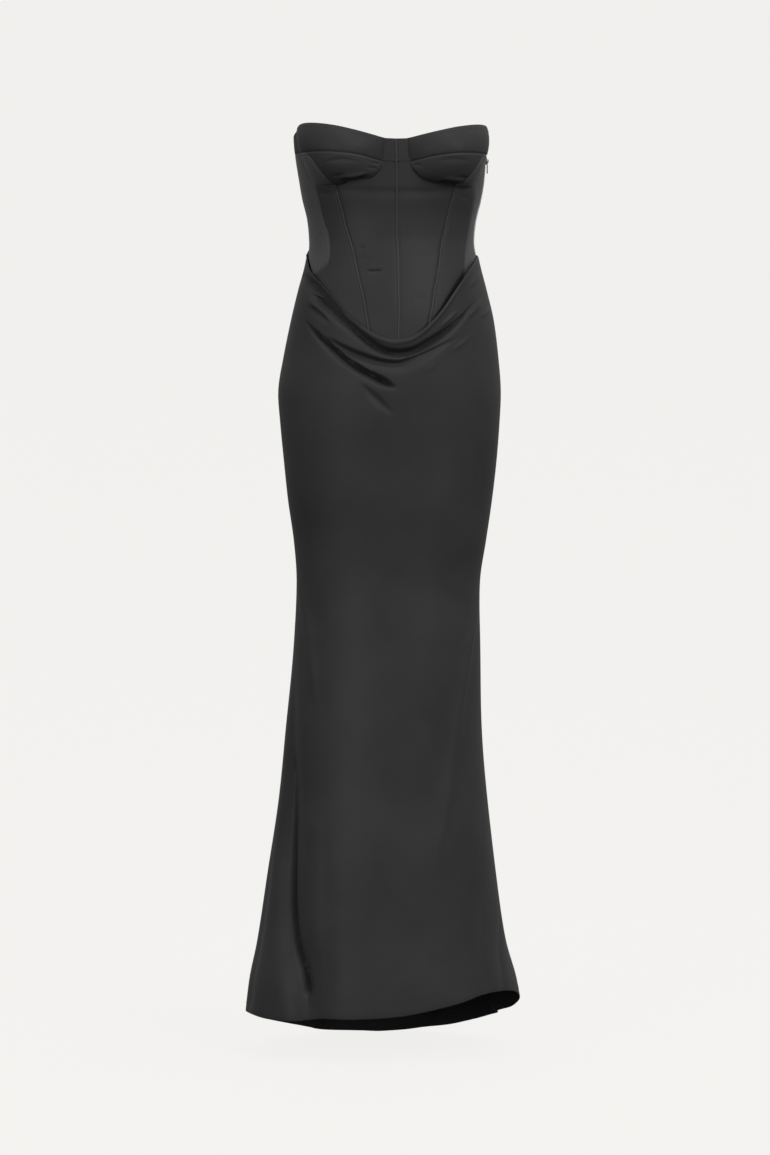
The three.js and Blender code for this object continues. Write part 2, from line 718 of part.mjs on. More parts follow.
function addZipSlider() {
  const seat = body(90, ZIP.slider);
  const slope = Math.atan2(body(90, ZIP.slider + 5).x - body(90, ZIP.slider - 5).x, 10);
  const group = new THREE.Group();
  group.position.copy(seat);
  group.rotation.y = slope;
  dress.add(group);

  const base = plate(roundedOutline(SLIDER.wide, SLIDER.tall, 2), SLIDER.thick);
  const half = SLIDER.archTall / 2;
  const rise = SLIDER.archRise;
  const foot = -0.5;
  const arch = outlineShape([
    [foot, -half], [rise - 0.6, -half], [rise, -half + 0.6], [rise, half - 0.6], [rise - 0.6, half],
    [foot, half], [foot, half - SLIDER.bar], [rise - SLIDER.bar, half - SLIDER.bar],
    [rise - SLIDER.bar, -half + SLIDER.bar], [foot, -half + SLIDER.bar],
  ]);
  const bridge = new THREE.ExtrudeGeometry(arch, { depth: SLIDER.archWide, bevelEnabled: false });
  bridge.rotateX(Math.PI / 2);
  bridge.translate(SLIDER.thick, SLIDER.archWide / 2, 0);
  const slider = add("zip_slider", fromSolid(toSolid(base).add(toSolid(bridge))), METAL, group);
  slider.position.x = SEAM_GAP;

  const hinge = new THREE.Vector3(SEAM_GAP + SLIDER.thick + (rise - SLIDER.bar) / 2, 0, 0);
  group.updateMatrixWorld(true);
  const pull = add("zip_pull", pullTab(), METAL);
  pull.position.copy(group.localToWorld(hinge));
}

// The tab hangs from its bar, which is at its own origin
function pullTab() {
  const shape = new THREE.Shape();
  const top = PULL.bar / 2;
  const centre = -PULL.long + PULL.wide / 2;
  shape.moveTo(-PULL.neck / 2, top);
  shape.lineTo(-PULL.wide / 2, centre);
  shape.absarc(0, centre, PULL.wide / 2, Math.PI, Math.PI * 2);
  shape.lineTo(PULL.neck / 2, top);
  shape.closePath();
  const slot = PULL.window / 2;
  shape.holes.push(outlineShape([
    [-slot, -top], [slot, -top], [slot, -top - PULL.windowLong], [-slot, -top - PULL.windowLong],
  ]));
  const tab = plate(shape, PULL.thick);
  tab.translate(-PULL.thick / 2, 0, 0);
  return tab;
}

function addHooks() {
  ["hook_upper", "hook_lower"].forEach((name, i) => {
    const z = HOOK.heights[i];
    const geometry = plate(roundedOutline(HOOK.long, HOOK.tall, 1.5), HOOK.thick);
    const hook = add(name, geometry, METAL);
    const seat = body(90, z + HOOK.tall / 2);
    hook.position.set(Math.max(seat.x, body(90, z).x) + SEAM_GAP, 0, z);
  });
}

const [LEFT, RIGHT] = SIDES;
const [zipFront, zipBack] = [90 - ZIP.halfAngle, 90 + ZIP.halfAngle];
const bandBottom = () => BAND_BOTTOM;

SIDES.forEach(addCup);
addFrontCentre();
SIDES.forEach(addFrontSide);
addMesh("mesh_right", RIGHT, BACK_SEAM);
addMesh("mesh_left_front", LEFT, zipFront);
addStraightPanel("mesh_left_back", zipBack, BACK_SEAM, bandBottom, 12, 4, MESH_WALL, NET);
addBand("side_band_right", -1, cupOuterEdge, BACK_SEAM);
addBand("side_band_left_front", 1, cupOuterEdge, zipFront);
addBand("side_band_left_back", 1, () => zipBack, BACK_SEAM);
addStraightPanel("corset_back", BACK_SEAM, 360 - BACK_SEAM, neckline, 8, 12, CORSET_WALL, SATIN);
addStraightPanel("zip_tape", zipFront, zipBack, () => ZIP.top, 12, 1, MESH_WALL, NET);
addCasing("casing_centre", () => 0, corsetHem(0) + 2, neckline(0) - 1);
addCasing("casing_left", casingLine, casingFoot.z + 2, wireCorner.z - 3);
addCasing("casing_right", (z) => -casingLine(z), casingFoot.z + 2, wireCorner.z - 3);
addSkirt("skirt_front", -90, 90, FRONT_ROWS, 32);
addSkirt("skirt_back", 90, 270, BACK_ROWS, 22);
addZipSlider();
addHooks();

export default dress;
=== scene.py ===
"""Strapless corset dress in black satin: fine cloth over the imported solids, in their frame.

Sizes are in millimetres and are turned into metres where a mesh is made. A place on the cloth is
an angle round the body, 0 in front and 90 on the wearer's left, with a height z.
"""
import math

import bpy
import numpy as np
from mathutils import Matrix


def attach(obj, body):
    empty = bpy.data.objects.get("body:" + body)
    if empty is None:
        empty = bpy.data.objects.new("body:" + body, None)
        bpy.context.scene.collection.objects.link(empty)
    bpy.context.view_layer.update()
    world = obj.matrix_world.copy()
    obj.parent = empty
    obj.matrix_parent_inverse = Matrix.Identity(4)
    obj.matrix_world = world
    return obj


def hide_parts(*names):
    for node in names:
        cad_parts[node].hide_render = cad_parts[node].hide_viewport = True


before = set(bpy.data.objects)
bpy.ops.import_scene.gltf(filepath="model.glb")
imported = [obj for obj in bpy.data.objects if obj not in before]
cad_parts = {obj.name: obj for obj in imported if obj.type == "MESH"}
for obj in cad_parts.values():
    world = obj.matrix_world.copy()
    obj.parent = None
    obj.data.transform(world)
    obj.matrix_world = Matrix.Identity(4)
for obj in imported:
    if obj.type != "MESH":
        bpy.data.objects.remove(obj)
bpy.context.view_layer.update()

MM = 0.001

# Cloth
CLOTH = 0.6  # thickness of one layer
NET_THICK = 0.4
ROLL = 0.85  # radius of a turned edge
SKIRT_OUT = 2.2  # the skirt's outside over the body shape
FACING = 14  # how far a turned edge goes down inside
UNDERLAP = 30  # how far the corset goes on inside the skirt
UNDERLAP_LEAST = 2  # how far it goes on at least
UNDERLAP_LEAN = 0.45  # how far it leans in there, for each millimetre down
ROOM = {"more": 20, "over": 12}  # what the skirt may go in further, below the corset's end
PANEL_OUT = 0.3  # how far the front side panels and the bands stand out
SEAM = {"deep": 0.9, "side_deep": 1.9, "net_deep": 1.6, "wide": 1.9}  # grooves along sewn edges
CREASE_END = 0.4  # share of its reach that a crease keeps at its ends
SHARP = 50  # degrees between two faces that look like an edge

# Slow waves in each cloth: how high, how long and where they start
WAVES = {
    "skirt": (1, 46, 0.4), "corset": (0.25, 30, 1.1), "net": (0.3, 26, 2.2),
    "plain": (0.4, 40, 3.1), "casing": (0.06, 9, 0.7),
}
# The skirt's waves: their height, how much more it is lower down, from which height and over how
# far it grows, and how far below the top edge they have come in
SKIRT_WAVES = {"high": 0.35, "more": 1.2, "low_from": -520, "low_over": 300, "after": 30}

# Body sections: height, half width, depth to the front, depth to the back, lean to one side
SECTIONS = [
    (60, 139, 90, 84, 0), (30, 140.5, 92, 88, -0.7), (0, 138.5, 91, 90, -0.7),
    (-38, 134, 88, 88, 0.7), (-64, 129.5, 86, 86, 0.7), (-93, 122.5, 83, 83, 0.7),
    (-122, 119.5, 83, 84, 0.7), (-138, 120.5, 85, 87, 1.4), (-165, 126.5, 90, 95, 2.2),
    (-194, 134.5, 95, 103, 2.2), (-238, 145, 102, 114, 2.2), (-296, 154.5, 106, 125, 0),
    (-340, 159.5, 108, 129, -1.8), (-383, 157.5, 107, 127, -1.4), (-441, 152.5, 104, 119, -1),
    (-499, 146, 101, 111, -1.4), (-557, 137.5, 97, 104, -1.4), (-615, 131, 95, 100, -3.6),
    (-702, 133, 99, 109, -5.8), (-818, 139.5, 107, 128, -9.4), (-934, 149.5, 116, 147, -10.9),
    (-1050, 165, 127, 172, -13), (-1137, 178.5, 136, 195, -13.8), (-1195, 192.5, 142, 208, -11.6),
    (-1300, 206, 152, 228, -8),
]

# Edges that run round the body: angle, height
NECKLINE = [
    (0, 13), (6.5, 14), (14, 18.5), (24, 25), (35, 31.5), (48, 36.5), (60, 38), (69, 35.5),
    (78, 31), (90, 26), (140, 18), (180, 14),
]
SKIRT_TOP = [
    (-180, -116), (-131, -122), (-90, -144), (-77, -157), (-68, -170), (-52, -192), (-38, -218),
    (-29, -238), (-19, -256), (-11, -268), (-3, -274.5), (5, -271.5), (11, -263), (20, -241),
    (32, -206), (40, -187), (51, -168), (69, -151), (90, -144), (131, -122), (180, -116),
]
HEM = [
    (-180, -1297), (-160, -1293), (-147, -1283), (-132, -1270), (-120, -1260), (-108, -1248),
    (-95, -1238), (-80, -1236), (-60, -1239), (-43, -1239), (-30, -1234), (-15, -1233), (3, -1229),
    (16, -1222), (29, -1214), (40, -1206), (50, -1202), (68, -1205), (84, -1217), (97, -1231),
    (106, -1243), (118, -1255), (137, -1275), (148, -1284), (158, -1290), (167, -1295),
    (180, -1297),
]
CUP_SEAM = [(7.5, -19), (13, -16.5), (20, -12.5), (34, -8), (53, -5.5), (72.5, -3.5)]
UNDERWIRE = [
    (7.5, -19), (9, -28), (14.5, -40), (20, -45), (27.5, -48.5), (34, -50.5), (41, -51.5),
    (50, -51.5), (60, -49),
]
WIRE_TURN, WIRE_CASING, WIRE_END = 2, 6, 8  # places in the list of underwire points

# Seams that run up the body: height, angle
CUP_OUTER_EDGE = [(-49, 60), (-29, 66.5), (-14, 70), (4, 74.5), (20, 77), (31, 78)]
CUP_STRIP_SEAM = [(-51.5, 41), (-32, 45), (-15, 49), (-5.5, 53)]
CASING_LINE = [
    (-51.5, 41), (-86, 38.5), (-112, 36.5), (-140, 32), (-180, 26), (-206, 22), (-245, 18),
    (-263, 16.3),
]
SATIN_EDGE_LEFT = [
    (-49, 60), (-74, 65), (-117, 64.5), (-130, 61), (-143, 57), (-162, 52), (-183, 50),
]
SATIN_EDGE_RIGHT = [
    (-49, 60), (-70, 58.5), (-91, 58), (-106, 55.5), (-120, 52.5), (-140, 51), (-155, 50.5),
    (-164, 53.5), (-173, 60), (-179, 65),
]
GORE_HALF = 6.5

# How far the corset goes on under a cup: in degrees, up in front, and up at the sides
UNDER_CUP = {"angle": 0.9, "up": 5, "side_up": 1.6}
BACK_SEAM = 118
BAND_BOTTOM = 0
BELOW_TOP = 5  # how far below the skirt's top edge the panels' own grids end
ZIP_HALF = 1.6
ZIP_TOP = 24
ZIP_SLIDER = -6
CUP_BUMP = {"angle": 36, "z": -4, "high": 38, "top_fall": 0.4, "inner": 1.1, "outer": 1.2}

# The cowl's edge: how far it stands off in front and how far down that fades, how much more it
# stands off round an angle on the wearer's left, the least room over the corset, and its roll
COWL = {"stand": 8, "fade": 60, "left_stand": 7, "left_angle": 38, "left_spread": 20, "clear": 1.2}
COWL_ROLL = {"high": 1.5, "below": 4.2, "wide": 3.2}

# Creases of the cowl: depth, reach above and below the line, how much of each end fades, then the
# line over the front view as x and z of its points. A negative depth is a ridge.
COWL_CREASES = [
    (15, 3.6, 5.5, 0.1, 0.3, [
        (-120, -202), (-108, -214), (-91, -230), (-77, -244), (-63, -256), (-48, -269.5),
        (-32, -282.5), (-17, -290), (-2, -292.5), (13, -291), (28, -286), (43, -277), (58, -267),
        (74, -255), (90, -240), (104, -223), (116, -208),
    ]),
    (10, 9, 7, 0.4, 0.5, [
        (-131, -164), (-124, -180), (-113, -196), (-96, -215), (-76, -235), (-54, -255), (-34, -270),
    ]),
    (8, 3.4, 9, 0.25, 0.4, [
        (-101, -267), (-88, -276), (-70, -288), (-50, -297), (-29, -304), (-11, -307), (3, -307),
        (20, -301), (46, -289), (68, -277), (94, -265),
    ]),
    (17, 3, 6, 0.45, 0.2, [
        (-129, -238), (-119, -253), (-107, -267), (-85, -290), (-70, -303), (-53, -315), (-32, -326),
        (-14, -336), (0, -344),
    ]),
    (3.4, 5, 7, 0.5, 0.5, [(-56, -334), (-44, -344), (-30, -358), (-14, -373), (-4, -383)]),
    (3, 3.5, 6, 0.3, 0.4, [(-122, -220), (-110, -231), (-101, -241), (-92, -251)]),
    (-1.6, 5, 5, 0.4, 0.5, [(-124, -208), (-108, -226), (-92, -243)]),
    (-1.5, 2.6, 2.6, 0.4, 0.4, [(56, -256), (66, -248), (76, -238), (86, -228)]),
    (-2.2, 3, 3.4, 0.4, 0.4, [(96, -243), (112, -226), (128, -208)]),
    (-1.5, 2.6, 2.6, 0.4, 0.4, [(118, -240), (130, -230), (142, -219)]),
    (-1.0, 2.6, 2.6, 0.5, 0.5, [(70, -292), (84, -283), (100, -270), (116, -256)]),
    (-0.5, 4, 4, 0.5, 0.5, [(34, -322), (45, -314), (56, -306)]),
    (-1.4, 3, 3, 0.4, 0.4, [(96, -199), (112, -184), (124, -168)]),
]

# Folds down the skirt: depth, reach towards the wearer's left and right of the line, how much of
# each end fades, then angle and height of the line's points, downwards. A negative depth is a ridge.
SKIRT_FOLDS = [
    (14, 38, 25, 0.45, 0.02, [
        (-79, -720), (-76, -790), (-69, -901), (-63.5, -1000), (-57.5, -1077), (-50.5, -1134),
        (-42.5, -1174), (-38, -1215), (-37, -1250),
    ]),
    (14, 9, 4, 0.45, 0.06, [
        (-73, -850), (-69, -901), (-63.5, -1000), (-57.5, -1077), (-50.5, -1134), (-42.5, -1174),
        (-38.5, -1210),
    ]),
    (1.5, 16, 14, 0.5, 0.3, [(-39, -880), (-35, -998), (-32, -1075), (-29, -1150), (-27, -1230)]),
    (1.0, 20, 16, 0.5, 0.3, [(-8, -1020), (-8, -1122), (-7, -1235)]),
    (2.4, 8, 16, 0.5, 0.05, [(66, -940), (58, -1010), (51, -1072), (45, -1135), (41, -1225)]),
    (3, 7, 14, 0.5, 0.05, [(84, -1060), (75, -1113), (64, -1160), (58, -1225)]),
    (-3.2, 9, 13, 0.25, 0.35, [
        (84, -612), (72, -658), (60, -701), (54, -744), (47, -801), (40, -864), (35, -914), (32, -949),
        (26, -998), (23, -1040),
    ]),
    (-2.6, 12, 9, 0.3, 0.35, [
        (-92, -600), (-78, -629), (-64, -679), (-58, -722), (-52, -765), (-46, -814),
    ]),
    (2.5, 18, 18, 0.5, 0.05, [(-84, -980), (-82, -1080), (-80, -1240)]),
    (18, 25, 25, 0.5, 0.03, [(112, -800), (113, -1000), (114, -1260)]),
    (20, 26, 26, 0.5, 0.03, [(146, -780), (145, -1000), (144, -1290)]),
    (16, 24, 24, 0.5, 0.03, [(176, -800), (177, -1000), (178, -1310)]),
    (20, 26, 26, 0.5, 0.03, [(-150, -780), (-149, -1000), (-147, -1300)]),
    (18, 25, 25, 0.5, 0.03, [(-118, -800), (-117, -1000), (-116, -1280)]),
]

# Soft drag lines over the hips and seat: the same columns as the folds
HIP_DRAGS = [
    (1.6, 8, 9, 0.4, 0.4, [(104, -160), (122, -188), (140, -206)]),
    (1.4, 8, 8, 0.4, 0.4, [(-102, -164), (-118, -190), (-138, -214)]),
    (1.3, 9, 9, 0.4, 0.4, [(150, -178), (176, -196), (204, -186)]),
    (1.1, 12, 12, 0.4, 0.4, [(110, -330), (140, -352), (172, -350)]),
    (1.2, 12, 12, 0.4, 0.4, [(-172, -372), (-140, -366), (-112, -340)]),
    (1.0, 10, 10, 0.4, 0.4, [(98, -240), (112, -262), (128, -276)]),
]

# Creases of the cups and the corset: the same columns, each line drawn towards the wearer's left,
# so its first reach is above it and its second below
RIGHT_CUP_CREASES = [
    (4, 2, 5, 0.3, 0.3, [(-37, -48), (-30, -46.5), (-23, -44), (-15, -38)]),
    (-2, 3, 2.5, 0.4, 0.4, [(-35, -42.5), (-29, -41.5), (-23, -39.5), (-15, -34)]),
    (1.4, 1.6, 2.4, 0.4, 0.4, [(-39, -42), (-34, -40), (-29, -38.5)]),
    (0.9, 2, 2.4, 0.4, 0.4, [(-18, -29), (-14, -29), (-10.5, -31)]),
    (0.7, 2, 2.4, 0.4, 0.4, [(-16, -23), (-12, -22), (-9.5, -24)]),
    (1.0, 3, 4, 0.4, 0.4, [(-42, -22), (-30, -19), (-20, -22)]),
]
LEFT_CUP_CREASES = [
    (4, 2, 5, 0.35, 0.25, [(24, -46), (31, -48), (38, -49), (45, -50.5)]),
    (-1.8, 3, 2.5, 0.4, 0.4, [(25, -42), (33, -43.5), (41, -45)]),
    (1.5, 1.6, 2.4, 0.4, 0.3, [(32, -41), (38, -40.5), (44, -41)]),
    (0.9, 3, 4, 0.4, 0.4, [(20, -20), (31, -17), (43, -19)]),
    (0.7, 2, 2.4, 0.4, 0.4, [(9.5, -25), (12, -24), (15, -26)]),
]
CORSET_CREASES = [
    (2.2, 1.8, 2.8, 0.45, 0.35, [(-25, -176), (-16, -174.5), (-6, -175)]),
    (1.6, 1.8, 2.8, 0.45, 0.4, [(-28, -140), (-25, -140.5), (-20, -140)]),
    (1.1, 2.6, 3.4, 0.45, 0.4, [(-27, -155), (-22, -156), (-17, -155)]),
    (1.2, 5, 8, 0.3, 0.3, [(-40, -57), (-26, -59), (-8, -61), (8, -61), (26, -59), (40, -57)]),
    (0.6, 5, 5, 0.4, 0.4, [(12, -150), (20, -153), (27, -151)]),
    (0.5, 6, 6, 0.4, 0.4, [(8, -212), (14, -214), (18, -212)]),
    (0.6, 3, 3, 0.4, 0.4, [(43, -63), (50, -65), (57, -64)]),
    (0.9, 3, 3, 0.4, 0.4, [(-58, -60), (-50, -62), (-43, -61)]),
]
MESH_CREASES = [
    (0.8, 1.6, 3, 0.3, 0.3, [(-79, -54), (-68, -57), (-59, -59)]),
    (0.9, 2, 3, 0.4, 0.4, [(-66, -120), (-62, -119), (-59, -117)]),
    (0.6, 4, 4, 0.4, 0.4, [(66, -70), (74, -74), (84, -72)]),
    (0.7, 3, 4, 0.4, 0.4, [(62, -150), (70, -146), (78, -138)]),
]

# Boned casings over the seams, with a channel on each side, zip teeth, hooks and stitches
CASING = {
    "half": 1.5, "high": 1.15, "sunk": 0.25, "thick": 0.5,
    "channel": 0.8, "channel_away": 2.5, "channel_wide": 1.1,
}
TOOTH = {
    "pitch": 1.6, "wide": 2.6, "tall": 0.95, "thick": 1.1, "apart": 0.75, "lift": 0.15, "bevel": 0.25,
    "first": 7, "last": 2,  # how far below the slider and above the skirt's top edge
}
HOOK = {
    "heights": (22.5, 10.5), "wire": 0.55, "reach": 4.6, "half": 1.5, "out": 0.7, "over": 0.2,
    "loop": 0.9, "bend": 0.5, "bar": 0.6,  # shares of the half width
}
WAIST_SEAM = {"start": 94, "tall": 6, "inside": 1.3, "thick": 0.5}
STITCH = {
    "long": 1.9, "pitch": 2.7, "thick": 0.3, "lift": 0.3,
    "seam": 2.6, "neck": 5, "hem": 12, "foot": 6,  # how far a row is from its edge
}


def curve(rows, column=1):
    """A smooth function through the rows of a table, from its first column to another."""
    xs, ys = map(np.array, zip(*sorted((row[0], row[column]) for row in rows)))
    ends = np.arange(len(xs))
    before, after = np.maximum(ends - 1, 0), np.minimum(ends + 1, len(xs) - 1)
    slopes = (ys[after] - ys[before]) / (xs[after] - xs[before])

    def at(x):
        x = np.clip(x, xs[0], xs[-1])
        i = np.clip(np.searchsorted(xs, x, side="right") - 1, 0, len(xs) - 2)
        span = xs[i + 1] - xs[i]
        t = (x - xs[i]) / span
        bend = t * (1 - t) ** 2 * span * slopes[i] - t**2 * (1 - t) * span * slopes[i + 1]
        return ys[i] + (ys[i + 1] - ys[i]) * t * t * (3 - 2 * t) + bend

    return at


def smooth(t):
    t = np.clip(t, 0, 1)
    return t * t * (3 - 2 * t)


def bell(x):
    return np.exp(-x * x)


def constant(value):
    """A function that gives one value at every angle or height."""
    return lambda places: 0 * places + value


def turned(angle):
    """The same angle between -180 and 180."""
    return (angle + 540) % 360 - 180


body_wide, body_front, body_back, body_lean = (curve(SECTIONS, i) for i in range(1, 5))
skirt_top_at, hem_at, neckline_at = curve(SKIRT_TOP), curve(HEM), curve(NECKLINE)
cup_seam_at, underwire = curve(CUP_SEAM), curve(UNDERWIRE)
cup_outer_edge, cup_strip_seam = curve(CUP_OUTER_EDGE), curve(CUP_STRIP_SEAM)
casing_line = curve(CASING_LINE)
cup_inner_edge = curve([(CUP_SEAM[0][1], CUP_SEAM[0][0]), (NECKLINE[1][1], GORE_HALF)])


def neckline(angle):
    return neckline_at(np.abs(turned(angle)))


def cup_seam(angle):
    return cup_seam_at(np.abs(angle))


def skirt_top(angle):
    return skirt_top_at(turned(angle))


def hem(angle):
    return hem_at(turned(angle))


def body(angle, z, out=0.0):
    """A point on the body shape, moved out by some millimetres."""
    angle, z, out = np.broadcast_arrays(np.asarray(angle, float), z, out)
    turn = np.radians(angle)
    wide = body_wide(z)
    deep = np.where(np.cos(turn) >= 0, body_front(z), body_back(z))
    across, fore = np.sin(turn) / wide, -np.cos(turn) / deep
    length = np.hypot(across, fore)
    x = body_lean(z) + wide * np.sin(turn) + out * across / length
    y = -deep * np.cos(turn) + out * fore / length
    return np.stack([x, y, z], axis=-1)


def corset(angle, z):
    """The corset's outside, which leans in below the skirt's top edge."""
    below = np.maximum(0, skirt_top(angle) - z)
    return body(angle, z, -UNDERLAP_LEAN * below)


def cup(angle, z):
    """A cup, which stands out from the body shape within its seams."""
    away = np.abs(angle)
    inner = away < CUP_BUMP["angle"]
    edge = np.where(inner, cup_inner_edge(z), cup_outer_edge(z))
    reach = np.abs(edge - CUP_BUMP["angle"])
    across = np.minimum(1, np.abs(away - CUP_BUMP["angle"]) / reach)
    below = z < CUP_BUMP["z"]
    edge = np.where(below, underwire(away), neckline(away))
    along = np.minimum(1, np.abs((z - CUP_BUMP["z"]) / (edge - CUP_BUMP["z"])))
    fall = np.where(below, np.sqrt(1 - along**2), 1 - CUP_BUMP["top_fall"] * along**2)
    side = (1 - across**2) ** np.where(inner, CUP_BUMP["inner"], CUP_BUMP["outer"])
    return body(angle, z, CUP_BUMP["high"] * fall * side)


def rounded_line(points, steps=10):
    """A smooth line through listed points."""
    rows = [(i, *point) for i, point in enumerate(points)]
    at = np.linspace(0, len(points) - 1, steps * (len(points) - 1) + 1)
    return curve(rows, 1)(at), curve(rows, 2)(at)


def near(a, b, line):
    """Signed distance to a line, positive on its left side, and the share along it."""
    xs, ys = line
    best = np.full(np.shape(a), np.inf)
    side = np.zeros(np.shape(a))
    share = np.zeros(np.shape(a))
    count = len(xs) - 1
    for i in range(count):
        run_x, run_y = xs[i + 1] - xs[i], ys[i + 1] - ys[i]
        off_x, off_y = a - xs[i], b - ys[i]
        t = np.clip((off_x * run_x + off_y * run_y) / (run_x**2 + run_y**2), 0, 1)
        away = np.hypot(off_x - t * run_x, off_y - t * run_y)
        closer = away < best
        best = np.where(closer, away, best)
        side = np.where(closer, np.sign(run_x * off_y - run_y * off_x), side)
        share = np.where(closer, (i + t) / count, share)
    return best * side, share


def crease(a, b, line, deep, left, right, start, end):
    """How deep a crease is at a place, with its own reach on each side of its line."""
    away, share = near(a, b, line)
    fade = smooth(share / start) * smooth((1 - share) / end)
    reach = np.where(away > 0, left, right) * (CREASE_END + (1 - CREASE_END) * fade)
    past = bell(away / reach)
    return deep * past * fade


def folds(table, angle, z):
    """How deep the folds of a table are, in millimetres along the cloth."""
    total = np.zeros(np.broadcast(angle, z).shape)
    for deep, left, right, start, end, points in table:
        angles, heights = rounded_line(points)
        middle = (angles.min() + angles.max()) / 2
        per_degree = math.radians(1) * body_wide(z)
        apart = turned(angle - middle) * per_degree
        line = ((angles - middle) * math.radians(1) * body_wide(heights), heights)
        total = total + crease(apart, z, line, deep, left, right, start, end)
    return total


def cowl_creases(angle, z):
    x = body(angle, z)[..., 0]
    total = np.zeros(np.shape(x))
    for deep, above, below, start, end, points in COWL_CREASES:
        total = total + crease(x, z, rounded_line(points), deep, above, below, start, end)
    return total


def drift(angle, z, kind):
    """A slow unevenness of the cloth, from a few waves at odd angles round a mean body."""
    high, size, begin = WAVES[kind]
    mean_radius = 130
    a, b = np.radians(angle) * mean_radius / size, z / size
    waves = [(1.0, 0.3, 0.0), (-0.6, 0.8, 1.7), (0.4, -1.3, 4.1), (1.7, 0.9, 2.6), (-1.1, -0.5, 5.3)]
    return high * (sum(np.sin(u * a + v * b + phase + begin) for u, v, phase in waves) / len(waves))


def skirt(angle, z):
    """The skirt's outside."""
    below = skirt_top(angle) - z
    facing = np.maximum(0, np.cos(np.radians(angle)))
    side = bell((turned(angle) - COWL["left_angle"]) / COWL["left_spread"])
    out = (COWL["stand"] * facing + COWL["left_stand"] * side) * np.exp(-below / COWL["fade"])
    out = out + COWL_ROLL["high"] * facing * bell((below - COWL_ROLL["below"]) / COWL_ROLL["wide"])
    corset_below = UNDERLAP_LEAN * below
    room = ROOM["more"] * smooth((below - UNDERLAP) / ROOM["over"])
    least = COWL["clear"] - corset_below - room
    creased = np.maximum(out - cowl_creases(angle, z), least)
    out = np.where(facing > 0, creased, out)
    out = out - folds(SKIRT_FOLDS, angle, z) - folds(HIP_DRAGS, angle, z)
    low = smooth((SKIRT_WAVES["low_from"] - z) / SKIRT_WAVES["low_over"])
    high = SKIRT_WAVES["high"] + SKIRT_WAVES["more"] * low
    out = out + high * drift(angle, z, "skirt") * smooth(below / SKIRT_WAVES["after"])
    return body(angle, z, SKIRT_OUT + out)


# Edges and grids of places: an edge gives the angle and height at each share of its way

def level(start, stop, height):
    """An edge round the body, at a height for each angle."""
    def edge(t):
        angle = start + (stop - start) * t
        return angle, height(angle)

    return edge


def upright(low, high, angle_at):
    """An edge up the body, at an angle for each height."""
    def edge(t):
        z = low + (high - low) * t
        return angle_at(z) + 0 * z, z

    return edge


def along_rows(table, start, stop):
    """An edge through the points of a table, from one of its rows to another."""
    rows = [(i, *row) for i, row in enumerate(table)]

    def edge(t):
        at = start + (stop - start) * t
        return curve(rows, 1)(at), curve(rows, 2)(at)

    return edge


def patch(bottom, top, left, right, rows, cols):
    """Angles and heights of a grid between four edges, with its first row at the top."""
    v, u = np.meshgrid(np.linspace(1, 0, rows + 1), np.linspace(0, 1, cols + 1), indexing="ij")
    zero, one = np.array(0.0), np.array(1.0)
    grid = []
    for k in (0, 1):
        low = bottom(zero)[k] + (bottom(one)[k] - bottom(zero)[k]) * u
        high = top(zero)[k] + (top(one)[k] - top(zero)[k]) * u
        rise = bottom(u)[k] + (top(u)[k] - bottom(u)[k]) * v
        run = left(v)[k] + (right(v)[k] - left(v)[k]) * u
        grid.append(rise + run - low - (high - low) * v)
    return grid


def unit(vectors):
    return vectors / np.maximum(np.linalg.norm(vectors, axis=-1, keepdims=True), 1e-9)


def facing_out(points):
    """The direction that the cloth faces at each point of a grid."""
    down = np.gradient(points, axis=0)
    across = np.gradient(points, axis=1)
    normals = unit(np.cross(down, across))
    outward = points * np.array([1, 1, 0])
    return normals if np.sum(normals * outward) > 0 else -normals


def grooved(points, edges, deep):
    """Draw a grid in along its sewn edges: t, b, l and r are its top, bottom, left and right."""
    lines = {
        "t": points[:1], "b": points[-1:], "l": points[:, :1], "r": points[:, -1:],
    }
    dip = sum(deep * bell(np.linalg.norm(points - lines[e], axis=-1) / SEAM["wide"]) for e in edges)
    return points - facing_out(points) * np.broadcast_to(dip, points.shape[:2])[..., None]


def turned_edge(points, normals):
    """Rows that turn a grid's first row over and go back down inside: points and directions."""
    steps = np.linalg.norm(points[1:] - points[:-1], axis=-1).mean(axis=1)
    count = 1 + int(np.searchsorted(steps.cumsum(), FACING))
    rows = list(points[count:0:-1] - 2 * ROLL * normals[count:0:-1])
    ways = list(-normals[count:0:-1])
    first, normal = points[0], normals[0]
    up = unit(points[0] - points[1])
    for turn in np.radians(np.linspace(180, 0, 7)[:-1]):
        way = normal * math.cos(turn) + up * math.sin(turn)
        rows.append(first - normal * ROLL + way * ROLL)
        ways.append(way)
    return np.array(rows), np.array(ways)


def with_turned_edges(points, edges):
    """A grid with its top and bottom edges turned to the inside, and its directions."""
    normals = facing_out(points)
    nothing = points[:0], normals[:0]
    rows, ways = turned_edge(points, normals) if "t" in edges else nothing
    low_rows, low_ways = turned_edge(points[::-1], normals[::-1]) if "b" in edges else nothing
    points = np.concatenate([rows, points, low_rows[::-1]])
    return points, np.concatenate([ways, normals, low_ways[::-1]])


# Meshes

def new_object(name, data):
    """An object in the scene that shows a mesh, a curve, a camera or a light."""
    made = bpy.data.objects.new(name, data)
    bpy.context.scene.collection.objects.link(made)
    return made


def new_mesh(name, points, faces, material):
    mesh = bpy.data.meshes.new(name)
    mesh.from_pydata((np.asarray(points) * MM).tolist(), [], np.asarray(faces).tolist())
    mesh.materials.append(material)
    mesh.shade_smooth()
    mesh.set_sharp_from_angle(angle=math.radians(SHARP))
    return new_object(name, mesh)


